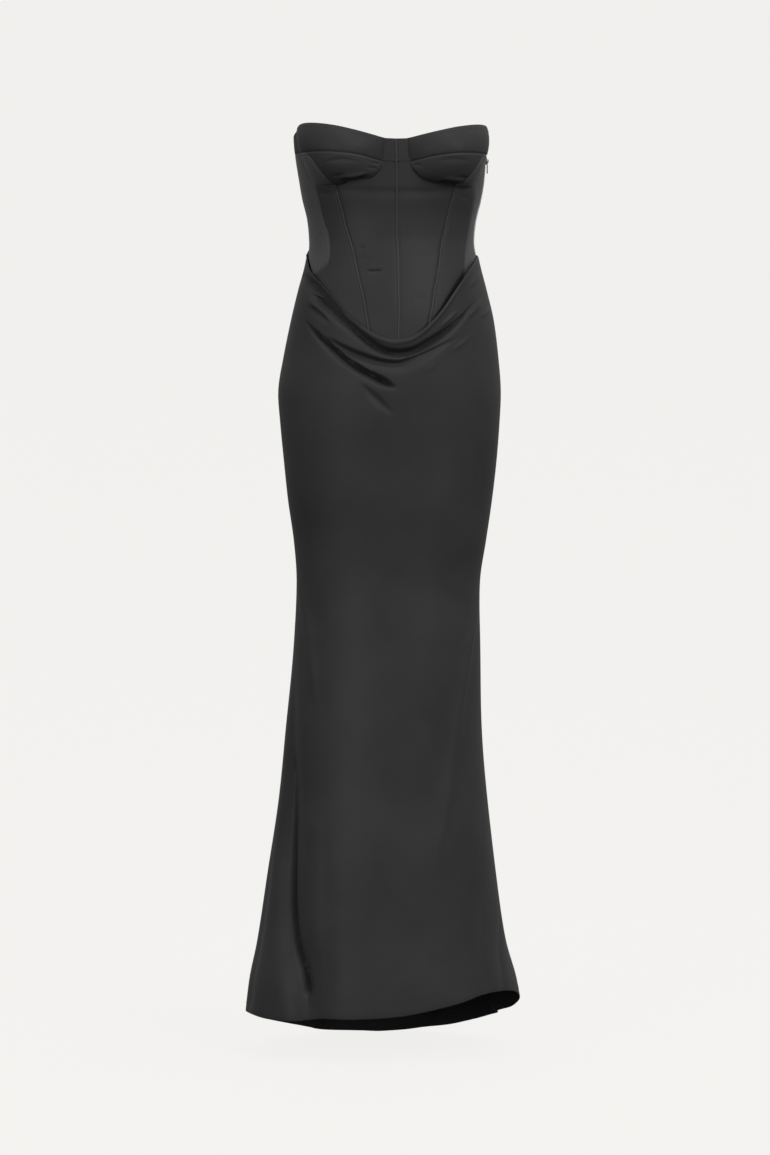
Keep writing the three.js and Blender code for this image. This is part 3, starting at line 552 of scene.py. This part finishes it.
def grid_faces(rows, cols, start=0, wrap=False):
    """Quads of a grid of points, closed round its columns if it wraps."""
    r, c = np.meshgrid(np.arange(rows - 1), np.arange(cols if wrap else cols - 1), indexing="ij")
    d = (c + 1) % cols
    quads = [r * cols + c, (r + 1) * cols + c, (r + 1) * cols + d, r * cols + d]
    return start + np.stack(quads, axis=-1).reshape(-1, 4)


def thin_shell(name, points, normals, thickness, material):
    """A closed layer of cloth from the points of its outside."""
    rows, cols = points.shape[:2]
    count = rows * cols
    inner = points - normals * thickness
    outside = grid_faces(rows, cols)
    lining = grid_faces(rows, cols, count)[:, ::-1]
    ids = np.arange(count).reshape(rows, cols)
    rim = np.concatenate([ids[0, :-1], ids[:-1, -1], ids[-1, :0:-1], ids[:0:-1, 0]])
    after = np.roll(rim, -1)
    edge = np.stack([rim, after, after + count, rim + count], axis=-1)
    flip = np.sum(np.cross(points[1, 0] - points[0, 0], points[0, 1] - points[0, 0]) * normals[0, 0]) < 0
    faces = np.concatenate([outside, lining, edge])
    if flip:
        faces = faces[:, ::-1]
    everything = np.concatenate([points.reshape(-1, 3), inner.reshape(-1, 3)])
    return new_mesh(name, everything, faces, material)


def on_dress(piece, slot, *nodes):
    """Fix a piece to the dress and hide the CAD nodes that it stands for; the slot is not used."""
    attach(piece, "dress")
    if nodes:
        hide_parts(*nodes)


def cloth(name, node, grid, surface, material, slot, sewn, turned_over="", relief=None, out=0.0,
          thickness=CLOTH, seam=SEAM["deep"]):
    """A piece of cloth that stands for a CAD node: its grid of places laid on a surface."""
    angle, z = grid
    points = surface(angle, z)
    if relief is not None:
        move = out - relief(angle, z)
        points = points + facing_out(points) * np.broadcast_to(move, angle.shape)[..., None]
    points = grooved(points, sewn, seam)
    points, normals = with_turned_edges(points, turned_over)
    piece = thin_shell(name, points, normals, thickness, material)
    on_dress(piece, slot, node)


# Materials

def shader(name, colour, roughness, **sockets):
    """A material whose shader has the given fixed sockets; the rest is added by the caller."""
    material = bpy.data.materials.new(name)
    material.use_nodes = True
    principled = material.node_tree.nodes["Principled BSDF"]
    principled.inputs["Base Color"].default_value = (*colour, 1)
    principled.inputs["Roughness"].default_value = roughness
    for socket, value in sockets.items():
        principled.inputs[socket.replace("_", " ")].default_value = value
    return material, principled


def add_node(material, kind, **inputs):
    """A shader node with the given sockets set."""
    node = material.node_tree.nodes.new(kind)
    for socket, value in inputs.items():
        node.inputs[socket.replace("_", " ")].default_value = value
    return node


def connect(material, *links):
    """Join nodes: each link is a source and its output, then a target and its input."""
    for source, output, target, socket in links:
        material.node_tree.links.new(source.outputs[output], target.inputs[socket])


def shades(material, colour, first, last, start=0, stop=1):
    """A ramp between two shades of a colour."""
    ramp = add_node(material, "ShaderNodeValToRGB")
    for element, share, position in zip(ramp.color_ramp.elements, (first, last), (start, stop)):
        element.position = position
        element.color = (*(c * share for c in colour), 1)
    return ramp


def fine_relief(material, place, stretch, detail, rough, strength, distance):
    """Fine stretched noise as a bump."""
    mapping = add_node(material, "ShaderNodeMapping", Scale=stretch)
    noise = add_node(material, "ShaderNodeTexNoise", Scale=1.0, Detail=detail, Roughness=rough)
    bump = add_node(material, "ShaderNodeBump", Strength=strength, Distance=distance)
    connect(
        material,
        (place, "Object", mapping, "Vector"), (mapping, "Vector", noise, "Vector"),
        (noise, "Fac", bump, "Height"),
    )
    return bump


def satin_cloth(name, colour, roughness):
    """Satin: a fine weave, slubs along the thread and a slow change of shade."""
    material, principled = shader(
        name, colour, roughness, Sheen_Weight=0.04, Sheen_Roughness=0.5, Specular_IOR_Level=0.17,
    )
    place = add_node(material, "ShaderNodeTexCoord")
    weave = fine_relief(material, place, (900, 900, 260), 3.0, 0.6, 0.25, 0.00012)
    slubs = fine_relief(material, place, (30, 30, 420), 2.0, 0.5, 0.12, 0.0002)
    shade = add_node(material, "ShaderNodeTexNoise", Scale=9.0, Detail=3.0, Roughness=0.55)
    ramp = shades(material, colour, 0.86, 1.14, 0.3, 0.7)
    gloss = add_node(
        material, "ShaderNodeMapRange", To_Min=roughness - 0.04, To_Max=roughness + 0.04,
    )
    connect(
        material,
        (weave, "Normal", slubs, "Normal"), (slubs, "Normal", principled, "Normal"),
        (place, "Object", shade, "Vector"), (shade, "Fac", ramp, "Fac"),
        (ramp, "Color", principled, "Base Color"), (shade, "Fac", gloss, "Value"),
        (gloss, "Result", principled, "Roughness"),
    )
    return material


def net_cloth(name, colour, alpha):
    """Fine sheer net: cells too small to cut, read as relief and shade over an even see-through."""
    material, principled = shader(name, colour, 0.7, Alpha=alpha, Sheen_Weight=0.3)
    place = add_node(material, "ShaderNodeTexCoord")
    cells = add_node(material, "ShaderNodeTexVoronoi", Scale=900.0, Randomness=0.25)
    cells.feature = "DISTANCE_TO_EDGE"
    threads = add_node(material, "ShaderNodeMapRange", From_Max=0.2)
    bump = add_node(material, "ShaderNodeBump", Strength=0.5, Distance=0.0002)
    bump.invert = True
    ramp = shades(material, colour, 1.5, 0.6)
    connect(
        material,
        (place, "Object", cells, "Vector"), (cells, "Distance", threads, "Value"),
        (threads, "Result", bump, "Height"), (bump, "Normal", principled, "Normal"),
        (threads, "Result", ramp, "Fac"), (ramp, "Color", principled, "Base Color"),
    )
    return material


def dark_metal(name, colour, roughness):
    """Dark plated metal with faint brushing and worn spots."""
    material, principled = shader(name, colour, roughness, Metallic=0.9)
    place = add_node(material, "ShaderNodeTexCoord")
    grain = fine_relief(material, place, (2500, 2500, 500), 3.0, 0.5, 0.15, 0.00005)
    wear = add_node(material, "ShaderNodeTexNoise", Scale=450.0, Detail=4.0)
    gloss = add_node(
        material, "ShaderNodeMapRange", To_Min=roughness - 0.1, To_Max=roughness + 0.15,
    )
    connect(
        material,
        (grain, "Normal", principled, "Normal"), (place, "Object", wear, "Vector"),
        (wear, "Fac", gloss, "Value"), (gloss, "Result", principled, "Roughness"),
    )
    return material


SATIN = satin_cloth("black_satin", (0.041, 0.041, 0.0415), 0.5)
CORSET_SATIN = satin_cloth("corset_satin", (0.041, 0.041, 0.0415), 0.52)
# Lower cups: the same black satin painted lighter, painted light that offsets the shade on their
# downward-facing slopes
LOWER_CUP_LIT_SATIN = satin_cloth("lower_cup_satin_painted_light", (0.055, 0.055, 0.0555), 0.52)
# Cup strips: the same black satin painted much lighter, a painted sheen standing in for the light the
# strips' satin catches
STRIP_PAINTED_SHEEN_SATIN = satin_cloth("strip_satin_painted_sheen", (0.11, 0.11, 0.111), 0.5)
# Casings: the same black satin painted slightly lighter, a painted highlight on the raised ridges
CASING_PAINTED_HIGHLIGHT_SATIN = satin_cloth("casing_satin_painted_highlight", (0.06, 0.06, 0.0605), 0.48)
NET = net_cloth("sheer_net", (0.064, 0.064, 0.0655), 0.94)
TAPE = satin_cloth("zip_tape_weave", (0.022, 0.022, 0.023), 0.7)
# Seam binding: near black, a real seam binding that is also painted shade, the dark line along the
# skirt's top edge seen through the net
BINDING_AND_PAINTED_SHADE = satin_cloth("seam_binding", (0.006, 0.006, 0.006), 0.8)
THREAD = satin_cloth("thread", (0.06, 0.06, 0.061), 0.45)
METAL = dark_metal("dark_metal", (0.16, 0.16, 0.168), 0.35)


# Camera, light and stage

CAMERA_PLACE = (-0.4444, -4.9802, -0.6112)
CAMERA_TURN = -5  # degrees about the upright axis
CAMERA_LENS = 107.48
MIDDLE = (0, 0, -0.6)

# Lights: name, place, aim, width and height, power
LIGHTS = [
    ("key", (2.3, -3.8, 1.9), MIDDLE, (2.0, 2.0), 60),
    ("front", (-2.6, -4.1, 0.2), MIDDLE, (2.2, 2.2), 42),
    ("top", (0.2, -1.3, 2.6), (0, 0, -0.3), (1.2, 0.9), 11),
    ("back", (0.4, 3.0, 1.8), MIDDLE, (2.2, 2.2), 16),
]
SKY = {"low": 0.06, "high": 0.8, "from": -0.35, "to": 0.35, "left": 0.5, "right": 0.75}
FLOOR = {"z": -1297, "near": -9000, "far": 3500, "bend": 1500, "top": 6000, "half": 9000}


def add_camera():
    data = bpy.data.cameras.new("camera")
    data.sensor_width = 36
    data.lens = CAMERA_LENS
    camera = new_object("camera", data)
    camera.location = CAMERA_PLACE
    camera.rotation_euler = (math.radians(90), 0, math.radians(CAMERA_TURN))
    bpy.context.scene.camera = camera


def add_light(name, place, aim, size, power):
    data = bpy.data.lights.new(name, "AREA")
    data.shape = "RECTANGLE"
    data.size, data.size_y = size
    data.energy = power
    lamp = new_object(name, data)
    lamp.location = place
    way = [b - a for a, b in zip(place, aim)]
    lamp.rotation_euler = (
        math.atan2(math.hypot(way[0], way[1]), -way[2]), 0, math.atan2(-way[0], way[1]),
    )


def add_sky():
    """A pale sky that is brighter above than below and brighter on the wearer's left."""
    world = bpy.data.worlds.new("studio")
    world.use_nodes = True
    place = add_node(world, "ShaderNodeTexCoord")
    split = add_node(world, "ShaderNodeSeparateXYZ")
    rise = add_node(
        world, "ShaderNodeMapRange",
        From_Min=SKY["from"], From_Max=SKY["to"], To_Min=SKY["low"], To_Max=SKY["high"],
    )
    across = add_node(
        world, "ShaderNodeMapRange", From_Min=-1, To_Min=SKY["left"], To_Max=SKY["right"],
    )
    strength = add_node(world, "ShaderNodeMath")
    strength.operation = "MULTIPLY"
    background = world.node_tree.nodes["Background"]
    background.inputs["Color"].default_value = (0.96, 0.96, 0.95, 1)
    connect(
        world,
        (place, "Generated", split, "Vector"), (split, "Z", rise, "Value"),
        (split, "X", across, "Value"), (rise, "Result", strength, 0),
        (across, "Result", strength, 1), (strength, "Value", background, "Strength"),
    )
    bpy.context.scene.world = world


def add_backdrop():
    """A pale floor that bends up into a wall."""
    profile = [(FLOOR["near"], FLOOR["z"]), (FLOOR["far"], FLOOR["z"])]
    for turn in np.radians(np.linspace(8, 90, 12)):
        y = FLOOR["far"] + FLOOR["bend"] * math.sin(turn)
        profile.append((y, FLOOR["z"] + FLOOR["bend"] * (1 - math.cos(turn))))
    profile.append((profile[-1][0], FLOOR["top"]))
    points = [(side * FLOOR["half"], y, z) for y, z in profile for side in (-1, 1)]
    faces = [(2 * i, 2 * i + 1, 2 * i + 3, 2 * i + 2) for i in range(len(profile) - 1)]
    material, principled = shader("backdrop", (0.06, 0.06, 0.059), 0.9, Specular_IOR_Level=0)
    principled.inputs["Emission Color"].default_value = (0.896, 0.888, 0.871, 1)
    principled.inputs["Emission Strength"].default_value = 0.955
    floor = new_mesh("backdrop", points, faces, material)
    floor.visible_glossy = False
    floor.visible_diffuse = False


add_camera()
for row in LIGHTS:
    add_light(*row)
add_sky()
bpy.context.scene.view_settings.view_transform = "Standard"
add_backdrop()


# Corset

SIDES = [("left", 1, SATIN_EDGE_LEFT), ("right", -1, SATIN_EDGE_RIGHT)]
seam_start, strip_top, seam_end = CUP_SEAM[0], CUP_STRIP_SEAM[-1], CUP_SEAM[-1]
cup_top = CUP_OUTER_EDGE[-1]
gore_top = (GORE_HALF, float(neckline(GORE_HALF)))
wire_corner, wire_end = UNDERWIRE[WIRE_CASING], UNDERWIRE[WIRE_END]
casing_foot = CASING_LINE[-1]
strip_seam = upright(wire_corner[1], strip_top[0], cup_strip_seam)


def straight(start, stop):
    """A straight edge from one (angle, height) to another."""
    return lambda t: tuple(a + (b - a) * t for a, b in zip(start, stop))


def on_side(sign, grid):
    """A grid drawn for the wearer's left, turned over for the right."""
    angle, z = grid
    return sign * angle, z


def tucked(grid, rows=24):
    """A corset grid carried on down inside the skirt."""
    angle, z = grid
    share = np.linspace(0, 1, rows)[1:, None]
    low = np.minimum(skirt_top(angle[-1]) - UNDERLAP, z[-1] - UNDERLAP_LEAST)
    more = z[-1] + (low - z[-1]) * share
    below = np.broadcast_to(angle[-1], more.shape)
    return np.concatenate([angle, below]), np.concatenate([z, more])


def add_cup(side, sign):
    creases = LEFT_CUP_CREASES if sign > 0 else RIGHT_CUP_CREASES
    upper = patch(
        level(seam_start[0], seam_end[0], cup_seam), level(GORE_HALF, cup_top[1], neckline),
        straight(seam_start, gore_top), upright(seam_end[1], cup_top[0], cup_outer_edge),
        rows=32, cols=100,
    )
    lower = patch(
        along_rows(UNDERWIRE, WIRE_TURN, WIRE_CASING), level(seam_start[0], strip_top[1], cup_seam),
        along_rows(UNDERWIRE, WIRE_TURN, 0), strip_seam, rows=60, cols=76,
    )
    strip = patch(
        along_rows(UNDERWIRE, WIRE_CASING, WIRE_END), level(strip_top[1], seam_end[0], cup_seam),
        strip_seam, upright(wire_end[1], seam_end[1], cup_outer_edge), rows=44, cols=36,
    )

    def relief(angle, z):
        return folds(creases, angle, z)

    pieces = (
        ("upper_cup", upper, CORSET_SATIN, "blr", "t"),
        # The lower cups take the lighter copy of the satin: painted light
        ("lower_cup", lower, LOWER_CUP_LIT_SATIN, "tblr", ""),
        # The strips take the much lighter copy of the satin: painted sheen
        ("cup_strip", strip, STRIP_PAINTED_SHEEN_SATIN, "tblr", ""),
    )
    for name, grid, material, sewn, over in pieces:
        node = f"{name}_{side}"
        cloth(f"{node}_satin", node, on_side(sign, grid), cup, material, "satin", sewn, over, relief)


def front_edge(t):
    """The front centre's edge: up the slanting seam, along the underwire, then up the gore."""
    t = np.asarray(t, float)
    wire_at, gore_at = 0.62, 0.9  # shares of the way
    slant = upright(casing_foot[0], wire_corner[1], casing_line)(np.clip(t / wire_at, 0, 1))
    along = np.clip((t - wire_at) / (gore_at - wire_at), 0, 1)
    under = along_rows(UNDERWIRE, WIRE_CASING, 0)(along)
    gore = straight(seam_start, gore_top)(np.clip((t - gore_at) / (1 - gore_at), 0, 1))
    angle, z = (
        np.where(t <= wire_at, slant[k], np.where(t <= gore_at, under[k], gore[k])) for k in (0, 1)
    )
    past_corner = t > wire_at
    up = UNDER_CUP["up"] * (past_corner & (t <= gore_at))
    return angle + UNDER_CUP["angle"] * past_corner, z + up


def casing_channel(angle, z, angle_at):
    """The two shallow channels beside a casing."""
    apart = np.abs(angle - angle_at(z)) * math.radians(1) * body_wide(z)
    return CASING["channel"] * bell((apart - CASING["channel_away"]) / CASING["channel_wide"])


def corset_relief(angle, z):
    slow = drift(angle, z, "corset")
    depth = folds(CORSET_CREASES, angle, z) + casing_channel(angle, z, constant(0)) + slow
    for sign in (1, -1):
        depth = depth + casing_channel(sign * angle, z, casing_line) * (z < wire_corner[1])
    return depth


def net_relief(angle, z):
    return folds(MESH_CREASES, angle, z) + drift(angle, z, "net")


def plain_relief(angle, z):
    return drift(angle, z, "plain")


def add_front_centre():
    grid = patch(
        level(-casing_foot[1], casing_foot[1], constant(casing_foot[0])),
        level(-GORE_HALF, GORE_HALF, neckline),
        lambda t: on_side(-1, front_edge(t)), front_edge, rows=150, cols=88,
    )
    cloth("front_centre_satin", "front_centre", tucked(grid), corset, CORSET_SATIN, "satin", "lr", "t",
          corset_relief)


def add_front_side(side, sign, satin_edge):
    foot = (satin_edge[-1][1], satin_edge[-1][0])
    node = f"front_side_{side}"

    def top(t):
        angle, z = along_rows(UNDERWIRE, WIRE_CASING, WIRE_END)(t)
        return angle, z + UNDER_CUP["side_up"]

    grid = patch(
        straight((casing_foot[1], casing_foot[0]), foot), top,
        upright(casing_foot[0], wire_corner[1], casing_line),
        upright(foot[1], wire_end[1], curve(satin_edge)), rows=100, cols=44,
    )
    cloth(f"{node}_satin", node, tucked(on_side(sign, grid)), corset, CORSET_SATIN, "satin", "lr", "",
          corset_relief, PANEL_OUT, seam=SEAM["side_deep"])


def add_mesh(name, sign, satin_edge, behind):
    """Sheer net from the satin's edge, and above it the cup's, to a straight seam behind."""
    foot_z, foot_angle = satin_edge[-1]
    satin_share = 0.75  # of the way up
    satin = upright(foot_z, wire_end[1], curve(satin_edge))
    cup_side = upright(wire_end[1], BAND_BOTTOM, cup_outer_edge)

    def front(t):
        t = np.asarray(t, float)
        low = satin(np.clip(t / satin_share, 0, 1))
        high = cup_side(np.clip((t - satin_share) / (1 - satin_share), 0, 1))
        return tuple(np.where(t < satin_share, low[k], high[k]) for k in (0, 1))

    low = float(skirt_top(sign * behind)) - BELOW_TOP
    grid = patch(
        straight((foot_angle, foot_z), (behind, low)),
        level(float(cup_outer_edge(BAND_BOTTOM)), behind, constant(BAND_BOTTOM)),
        front, upright(low, BAND_BOTTOM, constant(behind)), rows=90, cols=60 if behind > 90 else 30,
    )
    cloth(f"{name}_net", name, tucked(on_side(sign, grid)), corset, NET, "mesh", "lr", "", net_relief,
          thickness=NET_THICK, seam=SEAM["net_deep"])


def add_band(name, sign, angle_at, behind):
    """A satin band under the arm, above the net."""
    grid = patch(
        level(float(angle_at(BAND_BOTTOM)), behind, constant(BAND_BOTTOM)),
        level(float(angle_at(cup_top[0])), behind, neckline),
        upright(BAND_BOTTOM, cup_top[0], angle_at),
        upright(BAND_BOTTOM, float(neckline(behind)), constant(behind)), rows=24, cols=30,
    )
    cloth(f"{name}_satin", name, on_side(sign, grid), corset, CORSET_SATIN, "satin", "blr", "t",
          plain_relief, PANEL_OUT)


def add_upright_panel(name, start, stop, top, material, slot, rows, cols, over=""):
    """A panel between two upright edges, from a height down into the skirt."""
    def bottom(angle):
        return skirt_top(angle) - BELOW_TOP

    left, right = (
        upright(float(bottom(angle)), float(top(angle)), constant(angle)) for angle in (start, stop)
    )
    grid = patch(level(start, stop, bottom), level(start, stop, top), left, right, rows, cols)
    cloth(f"{name}_cloth", name, tucked(grid), corset, material, slot, "lr", over, plain_relief)


for side, sign, satin_edge in SIDES:
    add_cup(side, sign)
    add_front_side(side, sign, satin_edge)
add_front_centre()
zip_front, zip_back = 90 - ZIP_HALF, 90 + ZIP_HALF
add_mesh("mesh_right", -1, SATIN_EDGE_RIGHT, BACK_SEAM)
add_mesh("mesh_left_front", 1, SATIN_EDGE_LEFT, zip_front)
add_upright_panel(
    "mesh_left_back", zip_back, BACK_SEAM, constant(BAND_BOTTOM), NET, "mesh", rows=80, cols=34,
)
add_band("side_band_right", -1, cup_outer_edge, BACK_SEAM)
add_band("side_band_left_front", 1, cup_outer_edge, zip_front)
add_band("side_band_left_back", 1, constant(zip_back), BACK_SEAM)
add_upright_panel(
    "corset_back", BACK_SEAM, 360 - BACK_SEAM, neckline, CORSET_SATIN, "satin",
    rows=80, cols=130, over="t",
)
add_upright_panel(
    "zip_tape", zip_front, zip_back, constant(ZIP_TOP), TAPE, "mesh", rows=120, cols=12,
)


def add_waist_seam():
    """The bound seam inside the back and sides, where the skirt's top edge is sewn on; its near-black
    tape also paints the shaded line along that edge as seen through the net.
    """
    angles = np.linspace(WAIST_SEAM["start"], 360 - WAIST_SEAM["start"], 121)
    down = np.linspace(0.5, -0.5, 5)[:, None] * WAIST_SEAM["tall"]
    z = skirt_top(angles) + down
    points = corset(angles + 0 * z, z)
    points = points - facing_out(points) * WAIST_SEAM["inside"]
    piece = thin_shell("waist_seam_tape", points, facing_out(points), WAIST_SEAM["thick"], BINDING_AND_PAINTED_SHADE)
    on_dress(piece, "satin")


add_waist_seam()


# Casings

def add_casing(name, angle_at, low, high):
    """A narrow raised ridge over a seam, sunk into the cloth along both sides."""
    z, across = np.meshgrid(np.linspace(high, low, 150), np.linspace(-1, 1, 11), indexing="ij")
    middle = angle_at(z)
    per_degree = math.radians(1) * body_wide(z)
    out = CASING["high"] * np.sqrt(1 - across**2) - CASING["sunk"] + drift(middle, z, "casing")
    points = body(middle + across * CASING["half"] / per_degree, z, out)
    # The casing takes the lighter copy of the satin: a painted highlight on the ridge
    piece = thin_shell(f"{name}_satin", points, facing_out(points), CASING["thick"], CASING_PAINTED_HIGHLIGHT_SATIN)
    on_dress(piece, "satin", name)


def right_casing_line(z):
    return -casing_line(z)


# Casings: name, angle for each height, foot and top, and how far below the top the stitches start
casing_low, casing_high = casing_foot[0] + 2, wire_corner[1] - 1
CASINGS = [
    ("casing_centre", constant(0), float(skirt_top(0)) - 3, float(neckline(0)) + 0.5, 5.5),
    ("casing_left", casing_line, casing_low, casing_high, 2),
    ("casing_right", right_casing_line, casing_low, casing_high, 2),
]
for name, angle_at, low, high, _ in CASINGS:
    add_casing(name, angle_at, low, high)


# Skirt

# Each span of rows: their number, then how far below the top edge it starts and ends
SKIRT_FRONT = {
    "start": -90, "stop": 90, "cols": 212, "spans": [(34, 0, 46), (58, 46, 176), (104, 176, None)],
}
SKIRT_BACK = {"start": 90, "stop": 270, "cols": 170, "spans": [(50, 0, 176), (90, 176, None)]}


def skirt_grid(start, stop, cols, spans):
    """Angles and heights down the skirt. A span with no end goes down to the hem."""
    angles = np.linspace(start, stop, cols + 1)
    top, low = skirt_top(angles), hem(angles)
    rows = [top]
    for count, begin, end in spans:
        last = top - low if end is None else end
        for share in np.linspace(0, 1, count + 1)[1:]:
            rows.append(top - (begin + (last - begin) * share))
    return np.broadcast_to(angles, (len(rows), cols + 1)).copy(), np.array(rows)


for name, shape in (("skirt_front", SKIRT_FRONT), ("skirt_back", SKIRT_BACK)):
    cloth(f"{name}_satin", name, skirt_grid(**shape), skirt, SATIN, "satin", "lr", "tb")


# Zip, hooks and stitches

def on_surface(surface, angle, z):
    """Points of a line of places on a surface, with their directions along, out and across."""
    points = surface(angle, z)
    along = unit(np.gradient(points, axis=0))
    turn, drop = 0.2, 0.7  # a short step off the line, in degrees and millimetres
    aside = surface(angle + turn, z - drop) - surface(angle - turn, z + drop)
    out = unit(np.cross(along, aside))
    out = out * np.where(np.sum(out * points * np.array([1, 1, 0]), axis=-1) > 0, 1, -1)[:, None]
    return points, along, out, np.cross(out, along)


def blocks(name, centres, along, out, across, size, material, slot):
    """Many small blocks: length along, height out and width across."""
    half = np.array(size) / 2
    signs = [(a, b, c) for a in (-1, 1) for b in (-1, 1) for c in (-1, 1)]
    corners = [
        centres + a * half[0] * along + b * half[1] * out + c * half[2] * across for a, b, c in signs
    ]
    points = np.stack(corners, axis=1).reshape(-1, 3)
    sides = np.array([
        (0, 1, 3, 2), (4, 6, 7, 5), (0, 4, 5, 1), (2, 3, 7, 6), (0, 2, 6, 4), (1, 5, 7, 3),
    ])
    turned_in = np.sum(np.cross(out[0], across[0]) * along[0]) > 0
    sides = sides if turned_in else sides[:, ::-1]
    faces = (np.arange(len(centres))[:, None, None] * 8 + sides).reshape(-1, 4)
    piece = new_mesh(name, points, faces, material)
    on_dress(piece, slot)
    return piece


def add_teeth():
    """Meshed zip teeth below the slider, from alternate sides."""
    z = np.arange(ZIP_SLIDER - TOOTH["first"], float(skirt_top(90)) - TOOTH["last"], -TOOTH["pitch"])
    points, along, out, across = on_surface(body, 90 + 0 * z, z)
    shift = np.where(np.arange(len(z)) % 2, TOOTH["apart"], -TOOTH["apart"])[:, None]
    centres = points + out * (TOOTH["thick"] / 2 + TOOTH["lift"]) + across * shift
    size = (TOOTH["tall"], TOOTH["thick"], TOOTH["wide"])
    piece = blocks("zip_teeth", centres, along, out, across, size, METAL, "metal")
    bevel = piece.modifiers.new("bevel", "BEVEL")
    bevel.width = TOOTH["bevel"] * MM
    bevel.segments = 2


def add_stitches(name, surface, lines):
    """Rows of small stitches along lines of places on a surface."""
    rows = []
    for angle, z in lines:
        steps = np.linalg.norm(np.diff(surface(angle, z), axis=0), axis=-1)
        length = np.concatenate([[0], steps.cumsum()])
        at = np.arange(STITCH["pitch"] / 2, length[-1], STITCH["pitch"])
        rows.append(on_surface(surface, np.interp(at, length, angle), np.interp(at, length, z)))
    points, along, out, across = (np.concatenate(column) for column in zip(*rows))
    centres = points + out * STITCH["thick"] * STITCH["lift"]
    size = (STITCH["long"], STITCH["thick"], STITCH["thick"])
    blocks(name, centres, along, out, across, size, THREAD, "satin")


def corset_face(angle, z):
    """The corset front's outside with its creases."""
    return body(angle, z, -corset_relief(angle, z))


def casing_stitches():
    """Two rows beside each casing."""
    lines = []
    for _, angle_at, low, high, below in CASINGS:
        z = np.linspace(high - below, low + STITCH["foot"], 160)
        for side in (-1, 1):
            apart = side * CASING["channel_away"] / (math.radians(1) * body_wide(z))
            lines.append((angle_at(z) + apart, z))
    return lines


def beside(edge, up, start, stop, count=400):
    """A line of places some millimetres above an edge, or below it where up is negative."""
    angle = np.linspace(start, stop, count)
    return angle, edge(angle) + up


def cup_stitches():
    """A row on both sides of each cup's seam, then one below each cup's top edge."""
    seam, neck = STITCH["seam"], STITCH["neck"]
    rows = [
        beside(cup_seam, up, sign * (seam_start[0] + 2), sign * (seam_end[0] - 2))
        for sign in (-1, 1) for up in (-seam, seam)
    ]
    return rows + [
        beside(neckline, -neck, sign * (GORE_HALF + 3), sign * (cup_top[1] - 2)) for sign in (-1, 1)
    ]


def wire(name, points, radius, material):
    """A round wire along points in millimetres."""
    data = bpy.data.curves.new(name, "CURVE")
    data.dimensions = "3D"
    data.bevel_depth = radius * MM
    data.bevel_resolution = 3
    data.use_fill_caps = True
    spline = data.splines.new("POLY")
    spline.points.add(len(points) - 1)
    for point, place in zip(spline.points, points):
        point.co = (*(np.asarray(place) * MM), 1)
    data.materials.append(material)
    return new_object(name, data)


def add_hook(node, z):
    """A bent wire hook with two sewing loops, closed over a bar across the zip."""
    seat = body(90, z, HOOK["out"])
    reach, half, over = HOOK["reach"], HOOK["half"], HOOK["over"]
    loop, bend = half * HOOK["loop"], half * HOOK["bend"]
    turn = np.radians(np.linspace(0, 360, 15))
    loops = []
    for side in (-1, 1):
        centre = np.array([0, reach - half, side * half])
        loops.append([seat + centre + loop * np.array([0, math.cos(a), math.sin(a)]) for a in turn])
    bow = np.radians(np.linspace(90, 270, 11))
    tip = seat + np.array([over, -reach + half, 0])
    prong = [tip + bend * np.array([0, math.cos(a), math.sin(a)]) for a in bow]
    starts = [seat + np.array([over, reach - 2 * half, side * bend]) for side in (1, -1)]
    prong = [starts[0], *prong, starts[1]]
    bar_at = -reach + half * HOOK["bar"]
    bar = [seat + np.array([-over, bar_at, s]) for s in np.linspace(-half, half, 5)]
    for i, points in enumerate((loops[0], loops[1], prong, bar)):
        piece = wire(f"{node}_wire_{i}", points, HOOK["wire"], METAL)
        on_dress(piece, "metal", *([node] if points is prong else []))


add_teeth()
add_stitches("casing_stitches", corset_face, casing_stitches())
add_stitches("hem_stitches", skirt, [beside(hem, STITCH["hem"], -180, 180, 900)])
add_stitches("cup_stitches", cup, cup_stitches())
add_stitches("back_stitches", corset, [
    beside(neckline, -STITCH["neck"], BACK_SEAM + 1, 360 - BACK_SEAM - 1),
])
for node, z in zip(("hook_upper", "hook_lower"), HOOK["heights"]):
    add_hook(node, z)
for node in ("zip_slider", "zip_pull"):
    shown = bpy.data.objects[node]
    shown.data.materials.clear()
    shown.data.materials.append(METAL)
